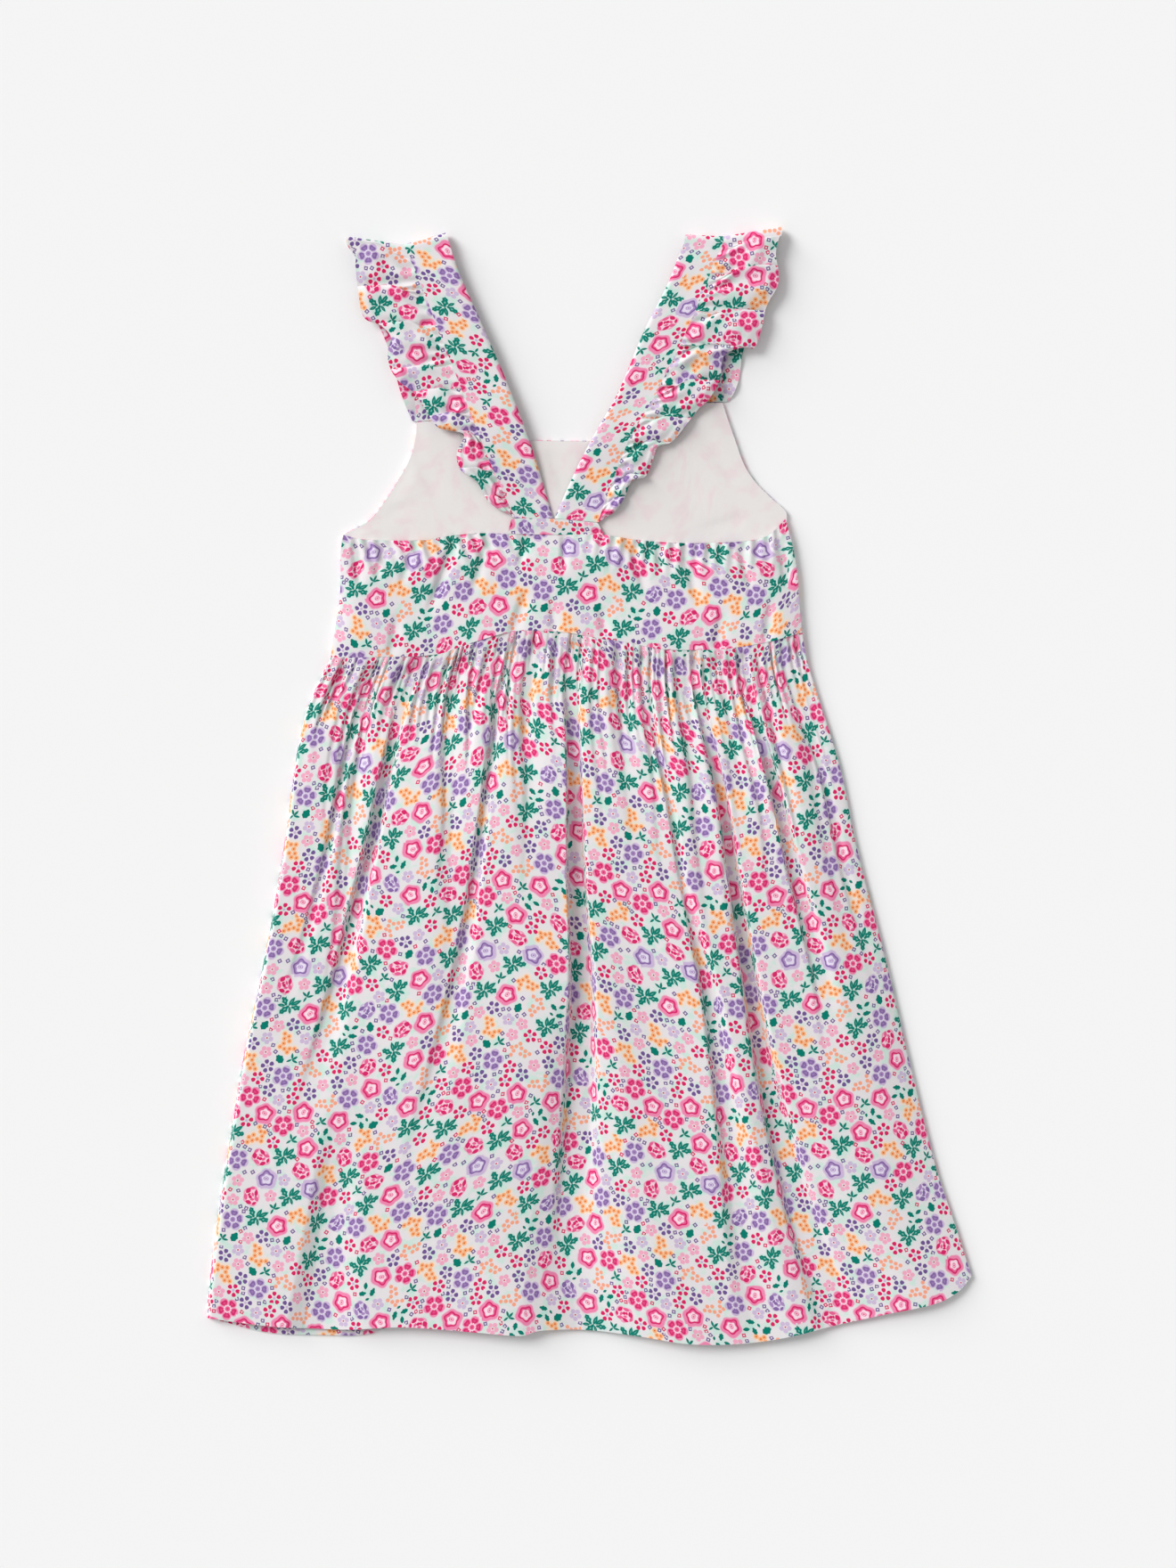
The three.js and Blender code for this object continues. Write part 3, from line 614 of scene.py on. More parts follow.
def paint_large(tree, base):
    _, (x, y, code) = attribute(tree, "print_large")
    flat = combined(tree, x, y)
    has = kinds_in(code, LARGE)
    purple = has["purple_petals"] + has["purple_rose"] + has["purple_peony"]
    rose, petal = has["rose"] + has["purple_rose"], has["pink_petals"] + has["purple_petals"]
    peony = has["pink_peony"] + has["purple_peony"]
    r = length_of(x, y)
    angle = y.math("ARCTAN2", x)
    scallop = (angle * 5.0 + code * 40.0).math("COSINE")
    ragged = scallop * 0.42 + (angle * 3.0 + code * 90.0).math("COSINE") * 0.22
    deep = mixed(tree, HOT_PINK, PURPLE, purple)
    halo = mixed(tree, PINK_HALO, LILAC_HALO, purple)
    middle = mixed(tree, MID_PINK, LILAC, purple)
    pale = mixed(tree, BLUSH, LILAC_WHITE, purple)

    # Roses: a soft star, a wavy ring in it, and a small centre
    off_centre = length_of(x + 0.4, y - 0.2)
    star = off_centre.within(ragged + 5.9, 0.45) * rose
    wavy = ragged + 3.75
    base = mixed(tree, base, halo, star)
    base = mixed(tree, base, deep, r.within(wavy + 0.5, 0.2) * rose)
    base = mixed(tree, base, middle, r.within(wavy - 0.45, 0.2) * rose)
    base = mixed(tree, base, pale, off_centre.within(scallop * 0.3 + 2.7, 0.3) * rose)
    base = mixed(tree, base, middle, oval(x, y, 0.0, 1.5, 1.15).within(1.0, 0.2) * rose)
    base = mixed(tree, base, pale, abs(r - 0.75).within(0.16, 0.15) * rose)

    # Flowers of five petals: pale lobes with a deep patch on each, and a pale ring
    px, py = sector(x, y, 5)
    base = mixed(tree, base, halo, oval(px, py, 3.95, 2.4, 2.5).within(1.0, 0.13) * petal)
    heart = oval(px - abs(py) * 0.35, py, 3.45, 1.45, 1.95)
    base = mixed(tree, base, deep, heart.within(1.0, 0.13) * petal)
    base = mixed(tree, base, middle, heart.within(0.42, 0.2) * petal * 0.6)
    spokes = (angle * 10.0).math("COSINE") * 0.3
    base = mixed(tree, base, pale, r.within(spokes + 2.1, 0.25) * petal)
    base = mixed(tree, base, middle, r.within(1.45, 0.25) * petal)
    base = mixed(tree, base, deep, r.within(spokes + 0.45, 0.2) * petal)

    # Peonies: loose patches in a flat oval
    flat_r = oval(x, y, 0.0, 1.0, 0.8)
    strong = leaves_at(tree, flat, PEONY_STRONG).within(1.0, 0.12)
    soft = leaves_at(tree, flat, PEONY_SOFT).within(1.0, 0.15)
    base = mixed(tree, base, halo, flat_r.within(ragged + 5.5, 0.4) * peony * 0.85)
    base = mixed(tree, base, pale, flat_r.within(4.6, 0.5) * peony * 0.75)
    base = mixed(tree, base, middle, soft * peony)
    base = mixed(tree, base, deep, strong * peony)

    # Clusters of berries, with dots or plain
    berry = spots_at(tree, flat, CLUSTER_DOTS)
    dotted, plain = has["orange_cluster"], has["pale_cluster"]
    base = mixed(tree, base, CREAM, berry.within(2.3, 0.6) * dotted * 0.8)
    base = mixed(tree, base, ORANGE, berry.within(1.3, 0.22) * dotted)
    base = mixed(tree, base, DARK_ORANGE, berry.within(0.42, 0.16) * dotted)
    base = mixed(tree, base, PEACH, berry.within(1.12, 0.22) * plain)

    # Leaf sprays
    spray = leaves_at(tree, flat, SPRAY_LEAVES, 0.17)
    base = mixed(tree, base, MINT, spray.within(1.7, 0.5) * has["leaf_spray"] * 0.45)
    base = mixed(tree, base, GREEN, spray.within(1.0, 0.1) * has["leaf_spray"])
    return mixed(tree, base, MINT, spray.within(0.13, 0.1) * has["leaf_spray"] * 0.5)


def paint_small(tree, base):
    _, (x, y, code) = attribute(tree, "print_small")
    flat = combined(tree, x, y)
    has = kinds_in(code, SMALL)
    r = length_of(x, y)
    px, py = sector(x, y, 5)

    # Pale flowers with a dot, then bright ones in separate petals
    pale = has["pale_pink"] + has["pale_lilac"]
    base = mixed(tree, base, mixed(tree, PALE_PINK, PALE_LILAC, has["pale_lilac"]),
                 oval(px, py, 2.25, 1.3, 1.35).within(1.0, 0.13) * pale * 0.9)
    base = mixed(tree, base, MAGENTA, r.within(0.5, 0.15) * pale)
    bright = has["magenta_petals"] + has["violet_petals"]
    base = mixed(tree, base, mixed(tree, MAGENTA, VIOLET, has["violet_petals"]),
                 oval(px - abs(py) * 0.25, py, 2.5, 1.25, 1.2).within(1.0, 0.1) * bright)
    base = mixed(tree, base, PALE_LILAC, r.within(0.8, 0.3) * bright)

    # Leaves: three thin ones, one broad one, and a loose group
    sprig = leaves_at(tree, flat, SPRIG_LEAVES).within(1.0, 0.15) * has["sprig"]
    single = leaves_at(tree, flat, [(0, 0, 0, 3.0, 2.1)], 0.1).within(1.0, 0.08) * has["single_leaf"]
    group = leaves_at(tree, flat, GROUP_LEAVES, 0.12).within(1.0, 0.1) * has["leaf_group"]
    base = mixed(tree, base, MINT, r.within(2.2, 1.2) * (has["sprig"] + has["leaf_group"]) * 0.5)
    base = mixed(tree, base, GREEN, sprig + single + group)

    # Small outlined squares
    square = has["violet_square"] + has["magenta_square"]
    rim = abs(abs(x).math("MAXIMUM", abs(y)) - 0.75).within(0.34, 0.12)
    return mixed(tree, base, mixed(tree, VIOLET, MAGENTA, has["magenta_square"]), rim * square * 0.95)


def cloth_material(name, coloured, roughness=0.85, crumple=0.25):
    """Plain-weave cotton: its colour, a fine weave and small soft creases."""
    material = bpy.data.materials.new(name)
    material.use_nodes = True
    tree = material.node_tree
    shader = tree.nodes["Principled BSDF"]
    vector, (s, t, _) = attribute(tree, "cloth")
    tree.links.new(coloured(tree, vector), shader.inputs["Base Color"])
    shader.inputs["Roughness"].default_value = roughness
    shader.inputs["Specular IOR Level"].default_value = 0.1
    shader.inputs["Sheen Weight"].default_value = 0.03
    shader.inputs["Sheen Roughness"].default_value = 0.5
    threads = (s * (math.tau / 0.7)).math("SINE") * (t * (math.tau / 0.7)).math("SINE")
    creases = noise(tree, vector, 0.11, 3.0, 0.55)
    height = creases * crumple + threads * 0.02
    bump = tree.nodes.new("ShaderNodeBump")
    bump.inputs["Strength"].default_value = 0.6
    bump.inputs["Distance"].default_value = 1.0 * MM
    tree.links.new(height.socket, bump.inputs["Height"])
    tree.links.new(bump.outputs["Normal"], shader.inputs["Normal"])
    return material


def print_colour(tree, vector):
    mottle = noise(tree, vector, 0.13, 3.0, 0.6)
    ground = mixed(tree, GROUND, MINT_GROUND, (mottle * -1.0).within(-0.56, 0.05) * 0.75)
    return paint_small(tree, paint_large(tree, ground))


def lining_colour(tree, vector):
    """Off-white, with the print on the other cloth showing through faintly."""
    ghost = noise(tree, vector, 0.09, 2.0, 0.5)
    return mixed(tree, "eae6e4", "ecd6da", (ghost * -1.0).within(-0.56, 0.1) * 0.55)


PRINT = cloth_material("print_cotton", print_colour)
LINING = cloth_material("lining_cotton", lining_colour, crumple=0.15)


# Skirt

def row_widths(spread, v):
    ends = spread(np.array([0.0, 1.0])[None, :].repeat(len(v), 0), np.stack([v, v], -1))
    return (ends[:, 1, 0] - ends[:, 0, 0])[:, None]


def trough(offset, floor, left, right, even):
    """A fold's section: a flat floor between two walls of their own width. The left one is curved,
    or straight by the share even."""
    down = np.clip((offset + floor / 2 + left) / left, 0, 1)
    curved = down * down * (3 - 2 * down)
    return (curved + (down - curved) * even) * (1 - smooth(floor / 2, floor / 2 + right, offset))


def fold_depths(u, v, width):
    total = np.zeros_like(u)
    for waist, middle, hem, depth, floor, left, right, slack, start, fade in FOLDS:
        course = np.where(v < 0.5, waist + (middle - waist) * v * 2, middle + (hem - middle) * (v * 2 - 1))
        course = course + 0.004 * np.sin(v * 9 + waist * 40)
        present = smooth(start - 0.08, start + 0.1, v) * (1 - smooth(fade - 0.55, fade, v))
        size, opened = 0.6 + 0.8 * v, slack * v**3
        left_wall, right_wall = left * size + opened, right * size + 3.5 * opened
        offset = (u - course) * width
        total += depth * present * trough(offset, floor * size, left_wall, right_wall, v**2)
    return total


def small_creases(u, v, width, count):
    """Uneven creases that run down from the gathers and fade at their own lengths."""
    total = np.zeros_like(u)
    spots = (np.arange(count) + rng.uniform(0.1, 0.9, count)) / count
    for spot, reach, depth, half, drift in zip(
        spots, rng.gamma(2.0, 0.13, count) + 0.07, rng.uniform(0.8, 3.2, count),
        rng.uniform(1.1, 3.2, count), rng.normal(0, 0.012, count),
    ):
        course = spot + (drift + 0.03 * (0.5 - spot)) * v + 0.002 * np.sin(v * 30 + spot * 90)
        offset = (u - course) * width / (half * (1 + 2.5 * v))
        present = (1 - smooth(0.3 * reach, reach, v)) * smooth(-0.02, 0.03, v)
        lopsided = np.exp(-offset * offset * np.where(offset < 0, 2.8, 0.32))
        total += depth * present * lopsided
    return total


def side_roll(share, reach):
    """How far a panel has risen at a share of its width from its side, where it turns down."""
    near = np.clip(share / reach, 0, 1)
    return (1 - (1 - near) ** 2) ** 0.8


def skirt_heights(u, v, width, plan):
    edge = side_roll(u, SIDE_ROLL["left"]) * side_roll(1 - u, SIDE_ROLL["right"])
    full = (0.4 + 0.6 * smooth(0, 0.35, u)) * (1 - 0.35 * smooth(0.7, 1, u)) * smooth(0, 0.3, v)
    lift = SKIRT_LIFT * edge * (0.3 + 0.7 * full) * (1 - 0.5 * smooth(0.5, 1, v))
    rest = Z_BACK + 0.2 + (Z_SKIRT_EDGE - Z_BACK - 0.2) * smooth(0, 0.1, v)
    phase = GATHERS * u + 0.35 * np.sin(45.9 * u) + 0.22 * np.sin(107.0 * u + 1)
    which = np.clip(np.round(phase), 0, GATHERS + 1).astype(int)
    strong = (0.12 + 1.8 * rng.uniform(0, 1, GATHERS + 2) ** 2.2)[which]
    long = rng.uniform(0.3, 1.4, GATHERS + 2)[which]
    away = phase - which
    valley = np.exp(-((away / np.where(away < 0, 0.11, 0.31)) ** 2))
    inside = smooth(0, 0.01, np.minimum(u, 1 - u))
    gather = GATHER_HEIGHT * inside * (0.3 - 1.9 * strong * valley)
    gather *= (1 - smooth(0.15, 1.0, v / (GATHER_REACH * long))) * (0.4 + 0.8 * smooth(0, 0.025, v))
    troughs = fold_depths(u, v, width) + small_creases(u, v, width, CREASES)
    troughs += crease_depths(plan[..., 0], plan[..., 1], SEAM_CREASES)
    troughs *= 0.15 + 0.85 * smooth(0, 0.035, v)
    folded = np.clip(lift - edge * troughs, 0, None)
    hills = edge * low_hills(u * 430, v * 150, 11, 58, 0.6)
    return np.maximum(rest + folded + gather + hills, Z_SKIRT_EDGE)


def lowest_round(z, reach):
    """The lowest height within a few points of each one, for an underside that stays below the top."""
    for axis in (0, 1):
        padded = np.pad(z, [(reach, reach) if a == axis else (0, 0) for a in (0, 1)], mode="edge")
        views = [np.take(padded, np.arange(z.shape[axis]) + k, axis) for k in range(2 * reach + 1)]
        z = np.min(views, 0)
    return z


def make_back_skirt():
    spread = panel(moved(line(WAIST), 0, -SEAM_GAP), line(HEM_BACK), line(SKIRT_LEFT), line(SKIRT_RIGHT))
    near = np.linspace(0, 0.12, 37)
    far = np.linspace(0.12, 1, 153)[1:]
    down = np.concatenate([near, far])
    u, v = grid_of(np.linspace(0, 1, GATHERS * COLUMNS_PER_GATHER + 1), down)
    width = row_widths(spread, down)
    plan = spread(u, v)
    z = skirt_heights(u, v, width, plan)
    grid = np.concatenate([plan, z[..., None] + THIN / 2], -1)
    under = grid.copy()
    under[..., 2] = np.maximum(lowest_round(grid[..., 2], 3) - THIN, CLOTH + 0.15)
    piece = shell("skirt_back", grid, gathered_coordinates(grid, SKIRT_CLOTH, (15, 200)), under,
                  "back_skirt", PRINT, coarser=4)
    return piece


def make_front_skirt():
    spread = panel(moved(line(WAIST), 0, -SEAM_GAP), line(HEM_FRONT), line(SKIRT_LEFT), line(SKIRT_RIGHT))
    u, v = grid_of(np.linspace(0, 1, 217), np.linspace(0, 1, 201))
    plan = spread(u, v)
    top = np.full_like(u, CLOTH)
    grid = np.concatenate([plan, top[..., None]], -1)
    under = grid - np.array([0, 0, CLOTH])
    piece = shell("skirt_front", grid, arc_coordinates(grid, (300, 180)), under, "front_skirt",
                  PRINT)
    return piece


# Bodice

# Creases that the elastic and the straps pull into the back: both ends, depth and half width
BODICE_CREASES = [
    (-76, 138, -90, 98, 2.0, 2.2), (-133, 134, -129, 112, 2.2, 2.0), (107, 138, 110, 112, 2.0, 2.2),
    (-15, 139, -15, 120, 1.4, 1.4), (-98, 136, -106, 112, 1.2, 2.0), (-57, 139, -66, 108, 1.4, 2.0),
    (22, 136, 31, 108, 1.4, 2.2), (52, 134, 60, 102, 1.4, 2.4), (83, 135, 90, 108, 1.4, 2.0),
    (-115, 135, -120, 116, 1.2, 1.8), (-44, 84, -36, 108, 1.2, 2.5), (70, 76, 74, 98, 1.1, 2.5),
    (98, 80, 101, 104, 1.2, 2.2), (-112, 72, -108, 96, 1.1, 2.4), (8, 83, 6, 100, 1.0, 2.4),
    (-20, 86, -22, 104, 1.0, 2.2), (36, 135, 41, 118, 1.1, 1.7), (-36, 139, -40, 122, 1.2, 1.6),
]


def crease_depths(x, y, table):
    """Creases along the table's lines, each steeper on its left."""
    total = np.zeros_like(x)
    for x0, y0, x1, y1, depth, half in table:
        length = math.hypot(x1 - x0, y1 - y0)
        along = ((x - x0) * (x1 - x0) + (y - y0) * (y1 - y0)) / length**2
        to_right = ((x - x0) * (y1 - y0) - (y - y0) * (x1 - x0)) / length * np.sign(y1 - y0)
        wide = half * np.where(to_right > 0, 1.7, 0.8)
        fade = smooth(-0.1, 0.2, along) * (1 - smooth(0.6, 1.15, along))
        total += depth * fade * np.exp(-((to_right / wide) ** 2))
    return total


def make_back_bodice():
    spread = panel(line(BODICE_TOP), line(WAIST), line(BODICE_LEFT), line(BODICE_RIGHT))
    u, v = grid_of(np.linspace(0, 1, 241), np.linspace(0, 1, 57))
    plan = spread(u, v)
    x, y = plan[..., 0], plan[..., 1]
    free = 1 - np.exp(-(((u - 0.47) / 0.09) ** 2))
    slant = u + np.where(u < 0.45, -0.1, 0.06) * v
    inside = smooth(0, 0.03, np.minimum(u, 1 - u))
    count = np.clip(np.floor(slant * 2 * PUCKERS), 0, 2 * PUCKERS).astype(int)
    strong = rng.uniform(0.3, 1.0, 2 * PUCKERS + 1)[count]
    pucker = strong * (0.5 - 0.5 * np.cos(2 * math.tau * PUCKERS * slant))
    pucker *= free * inside * (1 - smooth(0.04, 0.42, v))
    z = Z_BACK + 0.6 + PUCKER_HEIGHT * pucker
    z += 1.4 * side_roll(u, 0.05) * side_roll(1 - u, 0.07) * smooth(0, 0.3, v)
    z += 1.15 * side_roll(u, 0.05) * side_roll(1 - u, 0.14) * smooth(0.2, 1, v)
    z += inside * low_hills(x, y, 9, 45, 0.55) - 1.3 * inside * crease_depths(x, y, BODICE_CREASES)
    z = np.maximum(z, Z_BACK - 0.2)
    grid = np.concatenate([plan, z[..., None]], -1)
    under = grid.copy()
    under[..., 2] = lowest_round(z, 3) - THIN
    piece = shell("bodice_back", grid, arc_coordinates(grid, (60, 30)), under, "back_bodice",
                  PRINT, coarser=4)
    return piece


def make_band():
    sides = [line([BAND_TOP[k], BAND_BOTTOM[k]]) for k in (0, -1)]
    spread = panel(line(BAND_TOP), line(BAND_BOTTOM), *sides)
    u, v = grid_of(np.linspace(0, 1, 49), np.linspace(0, 1, 13))
    plan = spread(u, v)
    z = Z_BACK + 0.75 + (STRAP_CROWN - 0.35) * (1 - smooth(0.2, 1, v))
    grid = np.concatenate([plan, z[..., None]], -1)
    under = grid - np.array([0, 0, THIN])
    piece = shell("band_at_straps", grid, arc_coordinates(grid, (500, 77)), under, "strap_band",
                  PRINT)
    return piece


def front_spread(margin):
    """The front bodice between its neckline, waist and sides, drawn in by a margin."""
    return panel(drawn_in(line(NECKLINE), margin), line(WAIST),
                 drawn_in(line(FRONT_LEFT), -margin), drawn_in(line(FRONT_RIGHT), margin))


def make_front_bodice():
    u, v = grid_of(np.linspace(0, 1, 181), np.linspace(0, 1, 91))
    plan = front_spread(0.0)(u, v)
    grid = np.concatenate([plan, np.full_like(u, CLOTH)[..., None]], -1)
    under = grid - np.array([0, 0, CLOTH])
    piece = shell("bodice_front", grid, arc_coordinates(grid, (410, 95)), under, "front_bodice",
                  PRINT)
    return piece


# Creases in the lining, pressed in by the straps above it
LINING_CREASES = [
    (-128, 150, -95, 158, 0.35, 4), (-100, 186, -84, 160, 0.4, 4), (60, 200, 84, 166, 0.4, 5),
    (86, 150, 60, 142, 0.35, 4), (-24, 190, -12, 158, 0.4, 3.5), (40, 176, 66, 158, 0.3, 5),
]


def make_lining():
    u, v = grid_of(np.linspace(0, 1, 181), np.linspace(0, 1, 91))
    plan = front_spread(LINING_SET_BACK)(u, v)
    x, y = plan[..., 0], plan[..., 1]
    inside = smooth(0, 0.05, np.minimum(np.minimum(u, 1 - u), v))
    z = Z_LINING + 0.3 + inside * (0.35 + low_hills(x, y, 8, 60, 0.14))
    z -= inside * crease_depths(x, y, LINING_CREASES)
    grid = np.concatenate([plan, z[..., None]], -1)
    under = grid.copy()
    under[..., 2] = CLOTH + 0.1
    piece = shell("bodice_lining", grid, arc_coordinates(grid, (0, 0)), under, "front_lining",
                  LINING)
    return piece


# Straps and ruffles

FOLD_RADIUS = (Z_BACK + STRAP_RISE - Z_FLOOR_LAYER) / 2
FOLD_HEIGHT = (Z_BACK + STRAP_RISE + Z_FLOOR_LAYER) / 2
FOLD_STEPS = 11


def beyond(start, end):
    """The direction that leads off the shoulder, square to the line between two points on it."""
    step = end - start
    return np.array([-step[1], step[0]]) * np.sign(step[0]) / np.hypot(*step)


def shoulder_directions(side):
    """The same at a strap's inner edge, at the seam of its ruffle, and at the ruffle's free edge."""
    inner, seam = np.array(STRAPS[side]["inner"][-1]), np.array(STRAPS[side]["outer"][-1])
    strap, ruffle = beyond(inner, seam), beyond(seam, np.array(RUFFLES[side]["edge"][-1]))
    return strap, (strap + ruffle) / 2, ruffle


def over_shoulder(near, far, near_front, far_front, outs, counts, lift_back, lift_front):
    """A strip up the back, over the shoulder and down the front: its points and outer directions.
    The lifts give how far a point moves along the strip and off it."""
    across = np.linspace(0, 1, counts["across"] + 1)
    out = outs[0] * (1 - across[:, None]) + outs[1] * across[:, None]
    out /= np.linalg.norm(out, axis=1, keepdims=True)
    sink = FOLD_RADIUS + CLOTH / 2

    v, s = grid_of(across, np.linspace(0, 1, counts["back"] + 1))
    drift, rise = lift_back(s, v)
    plan = near(s + drift) * (1 - v[..., None]) + far(s + drift) * v[..., None]
    plan = plan - out * sink * smooth(0.9, 1, s)[..., None]
    back = np.concatenate([plan, (Z_BACK + rise)[..., None]], -1)
    back_out = np.zeros_like(back) + np.array([0, 0, 1.0])

    w, angle = grid_of(across, math.pi * np.arange(1, FOLD_STEPS) / FOLD_STEPS)
    base = near(1.0) * (1 - w[..., None]) + far(1.0) * w[..., None] - out * sink
    turned = np.concatenate([out * np.sin(angle)[..., None], np.cos(angle)[..., None]], -1)
    fold = np.concatenate([base, np.full_like(angle, FOLD_HEIGHT)[..., None]], -1) + FOLD_RADIUS * turned

    v, s = grid_of(across, np.linspace(0, 1, counts["front"] + 1))
    plan = near_front(s) * (1 - v[..., None]) + far_front(s) * v[..., None]
    plan = plan - out * sink * (1 - smooth(0, 0.12, s))[..., None]
    front = np.concatenate([plan, (Z_FLOOR_LAYER + lift_front(s, v))[..., None]], -1)
    front_out = np.zeros_like(front) - np.array([0, 0, 1.0])
    return np.concatenate([back, fold, front]), np.concatenate([back_out, turned, front_out])


def strip_shell(name, points, outward, side, cloth, node, wall):
    """The strip as a shell; on the right its columns run the other way, so that it faces out."""
    if side == "right":
        points, outward, cloth = points[:, ::-1], outward[:, ::-1], cloth[:, ::-1]
    grid = points + outward * wall / 2
    under = points - outward * wall / 2
    return shell(name, grid, cloth, under, node, PRINT)


def strap_height(s):
    """How far a strap's back half stands off the layers below, up from the band."""
    return STRAP_RISE * smooth(0, 0.32, s) + STRAP_CROWN * (1 - smooth(0.85, 1, s))


def make_strap(side, number):
    table = STRAPS[side]
    inner, outer = line(table["inner"]), line(table["outer"])
    inner_front, outer_front = line(table["inner_front"]), line(table["outer_front"])
    waves = rng.uniform(0, math.tau, 3)

    def lift_back(s, v):
        rolled = STRAP_CROWN * (1 - smooth(0, 0.08, v) ** 0.6) * (1 - smooth(0.85, 1, s))
        soft = 0.25 * np.sin(s * 17 + waves[0]) * v * (1 - v) * 4 + 0.2 * np.sin(s * 29 + waves[1]) * (1 - v)
        return np.zeros_like(s), strap_height(s) - rolled + soft * smooth(0, 0.08, s) * (1 - smooth(0.9, 1, s))

    points, outward = over_shoulder(
        inner, outer, inner_front, outer_front, shoulder_directions(side)[:2],
        {"back": 130, "front": 76, "across": 20}, lift_back, lambda s, v: np.zeros_like(s))
    cloth = arc_coordinates(points, (150 + 170 * number, 390))
    piece = strip_shell(f"strap_over_{side}", points, outward, side, cloth, f"strap_{side}", 0.9)
    return piece


# A ruffle's wave, seen from its free edge: shares of the wave's length, and of its height. It leans
# over the start of the next wave.
WAVE = line([
    (0.00, 0.00), (0.10, 0.36), (0.34, 0.72), (0.66, 0.92), (0.92, 1.00), (1.10, 0.94), (1.17, 0.66),
    (1.10, 0.30), (1.00, 0.00),
])
BACK_ROWS, FRONT_ROWS = 252, 96


def waved_coordinates(grid, wave, start):
    """Where a ruffle's points lie in the flat cloth. Each wave shows a stretch of its own, a little
    turned, because what lies between two of them is folded away."""
    turn = rng.uniform(-0.35, 0.35, wave.max() + 1)[wave][:, None]
    skip = rng.uniform(0, REPEAT, (wave.max() + 1, 2))[wave][:, None]
    x, y = grid[..., 0] - grid[..., 0].mean(), grid[..., 1] - grid[..., 1].mean()
    return np.stack([x * np.cos(turn) + y * np.sin(turn), y * np.cos(turn) - x * np.sin(turn)], -1) + skip + start


def make_ruffle(side, number):
    table = RUFFLES[side]
    seam, seam_front = line(STRAPS[side]["outer"]), line(STRAPS[side]["outer_front"])
    edge, edge_front = line(table["edge"]), line(table["edge_front"])
    folds = np.array(table["folds"])
    strong = rng.uniform(0.65, 1.1, len(folds))
    bends = rng.uniform(-1, 1, len(folds))

    def wave_at(s):
        return np.clip(np.searchsorted(folds, s, side="right") - 1, 0, len(folds) - 2)

    def lift_back(s, v):
        k = wave_at(s)
        span = folds[k + 1] - folds[k]
        t = (s - folds[k]) / span
        section = WAVE(t)
        leaning = smooth(0.02, 0.5, v) * (1 - smooth(0.9, 1, s)) * smooth(0, 0.05, s)
        drift = (section[..., 0] - t) * span * leaning + 0.012 * bends[k] * v * (1 - v) * leaning
        wave = RUFFLE_LIFT * strong[k] * section[..., 1] * (0.12 + 0.88 * smooth(0, 0.75, v))
        gathered = 1.0 * np.cos(s * 190 + 3 * np.sin(s * 31)) * np.exp(-v / 0.4) * smooth(0, 0.1, v)
        gathered += low_hills(s * 230, v * 24, 9, 9.5, 0.62) * smooth(0, 0.15, v) * (1 - 0.6 * smooth(0.8, 1, v))
        curl = 0.5 * smooth(0.9, 1, v) - 0.3 * np.exp(-(((v - 0.86) / 0.04) ** 2))
        free = smooth(0, 0.25, v) * (1 - smooth(0.9, 1, s)) * smooth(0, 0.04, s)
        base = 0.15 + strap_height(s) * (1 - 0.9 * smooth(0, 1, v) * (1 - smooth(0.8, 1, s)))
        return drift, base + (wave - curl) * free + gathered * (1 - smooth(0.9, 1, s))

    def lift_front(s, v):
        wave = 0.5 - 0.5 * np.cos(math.tau * 6 * s)
        return RUFFLE_LIFT_UNDER * v * wave * smooth(0, 0.1, s)

    points, outward = over_shoulder(
        seam, edge, seam_front, edge_front, shoulder_directions(side)[1:],
        {"back": BACK_ROWS, "front": FRONT_ROWS, "across": 28}, lift_back, lift_front)
    back = wave_at(np.linspace(0, 1, BACK_ROWS + 1))
    wave = np.concatenate([back, np.full(len(points) - len(back), len(folds) - 2)])
    cloth = waved_coordinates(points, wave, np.array([40 + 210 * number, 300]))
    piece = strip_shell(f"frill_{side}", points, outward, side, cloth, f"ruffle_{side}", 0.6)
    return piece


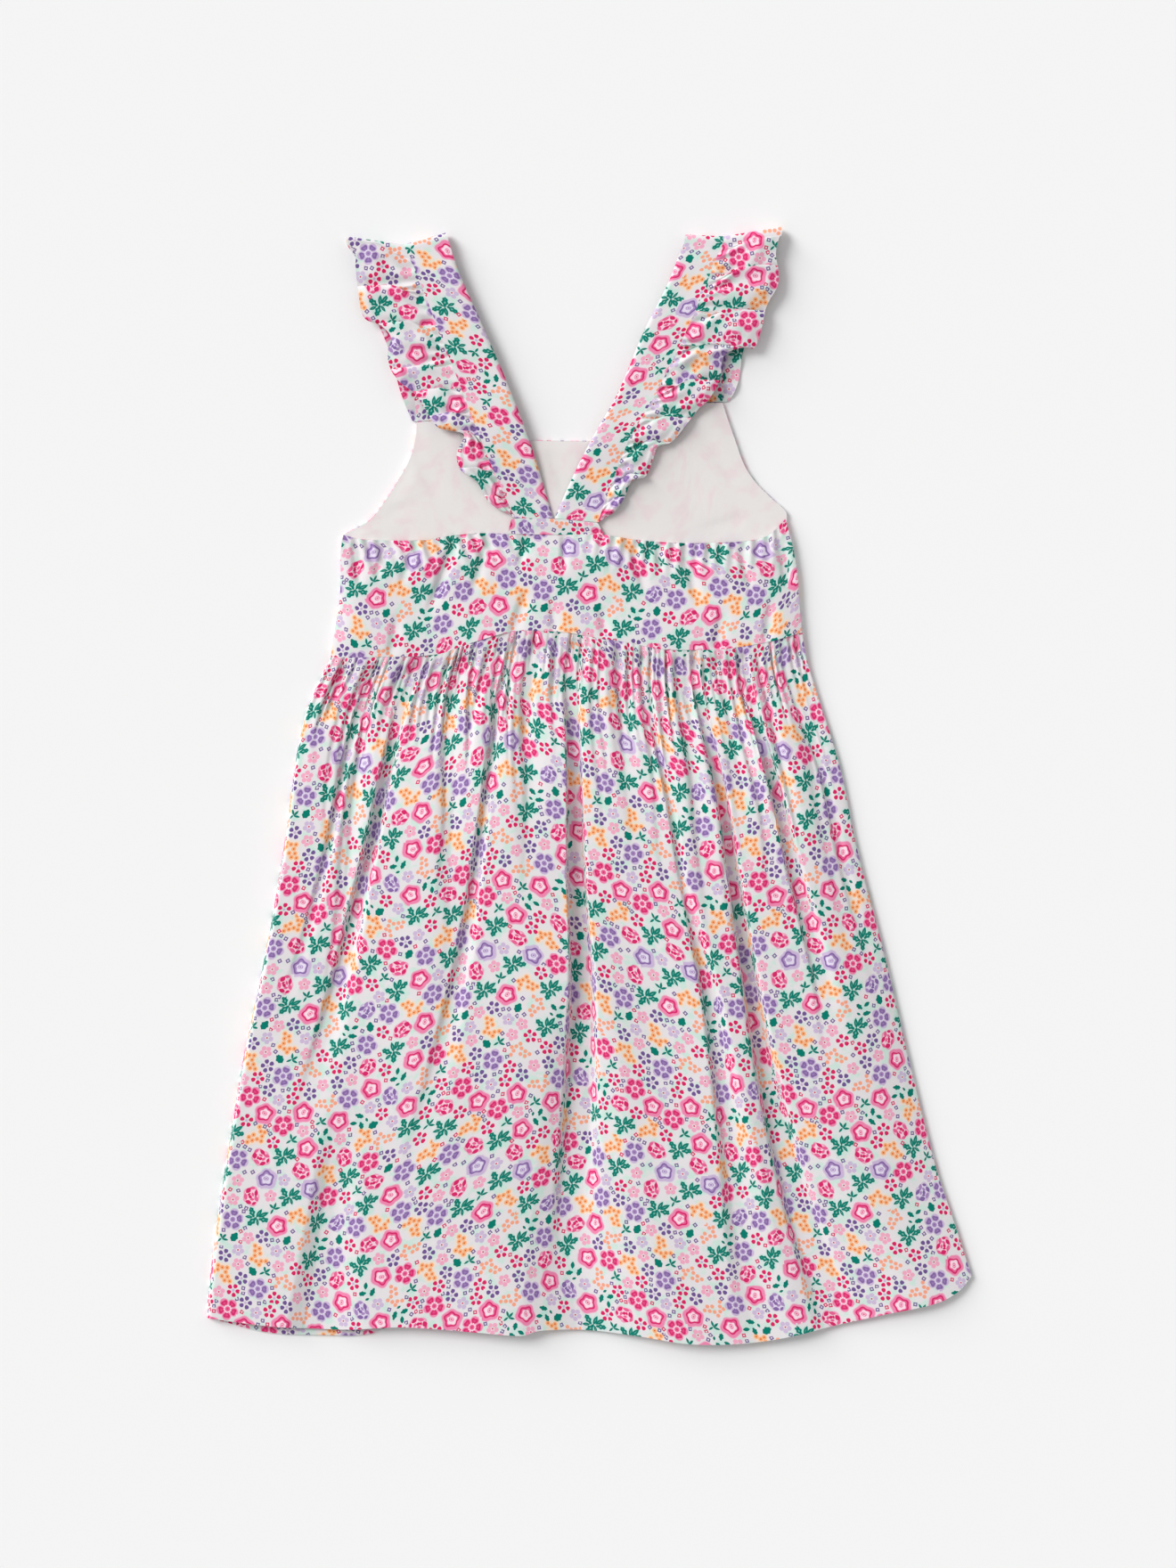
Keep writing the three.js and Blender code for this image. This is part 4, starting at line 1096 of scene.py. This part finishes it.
make_back_skirt()
make_front_skirt()
make_back_bodice()
make_band()
make_front_bodice()
make_lining()
for number, side in enumerate(("left", "right")):
    make_strap(side, number)
    make_ruffle(side, number)


# Floor, light and camera

def make_floor():
    mesh = bpy.data.meshes.new("floor")
    half, height = 4.0, -0.0003
    mesh.from_pydata([(-half, -half, height), (half, -half, height), (half, half, height),
                      (-half, half, height)], [], [(0, 1, 2, 3)])
    material = bpy.data.materials.new("pale_floor")
    material.use_nodes = True
    shader = material.node_tree.nodes["Principled BSDF"]
    shader.inputs["Base Color"].default_value = (0.945, 0.945, 0.945, 1)
    shader.inputs["Roughness"].default_value = 1.0
    shader.inputs["Specular IOR Level"].default_value = 0.0
    mesh.materials.append(material)
    floor = bpy.data.objects.new("floor", mesh)
    bpy.context.scene.collection.objects.link(floor)


def add_sun(name, azimuth, elevation, spread, strength):
    """A soft distant light. Azimuth is where it stands round the dress, from +X towards +Y."""
    data = bpy.data.lights.new(name, "SUN")
    data.energy = strength
    data.angle = math.radians(spread)
    lamp = bpy.data.objects.new(name, data)
    lamp.rotation_euler = (0, math.radians(90 - elevation), math.radians(azimuth))
    bpy.context.scene.collection.objects.link(lamp)


def make_light():
    add_sun("key", 148, 42, 26, 1.70)
    add_sun("low", 142, 17, 30, 1.25)
    world = bpy.data.worlds.new("studio")
    world.use_nodes = True
    background = world.node_tree.nodes["Background"]
    background.inputs["Color"].default_value = (1, 1, 1, 1)
    background.inputs["Strength"].default_value = 0.485
    bpy.context.scene.world = world
    bpy.context.scene.view_settings.view_transform = "Standard"


def make_camera():
    """Straight down, with the photo's frame: 880 mm of the surface from top to bottom."""
    lens, sensor, seen = 85.0, 36.0, 0.880
    data = bpy.data.cameras.new("camera")
    data.lens, data.sensor_width = lens, sensor
    data.clip_end = 20.0
    camera = bpy.data.objects.new("camera", data)
    camera.location = (-0.0005, 0.0006, seen * lens / sensor)
    bpy.context.scene.collection.objects.link(camera)
    bpy.context.scene.camera = camera


make_floor()
make_light()
make_camera()
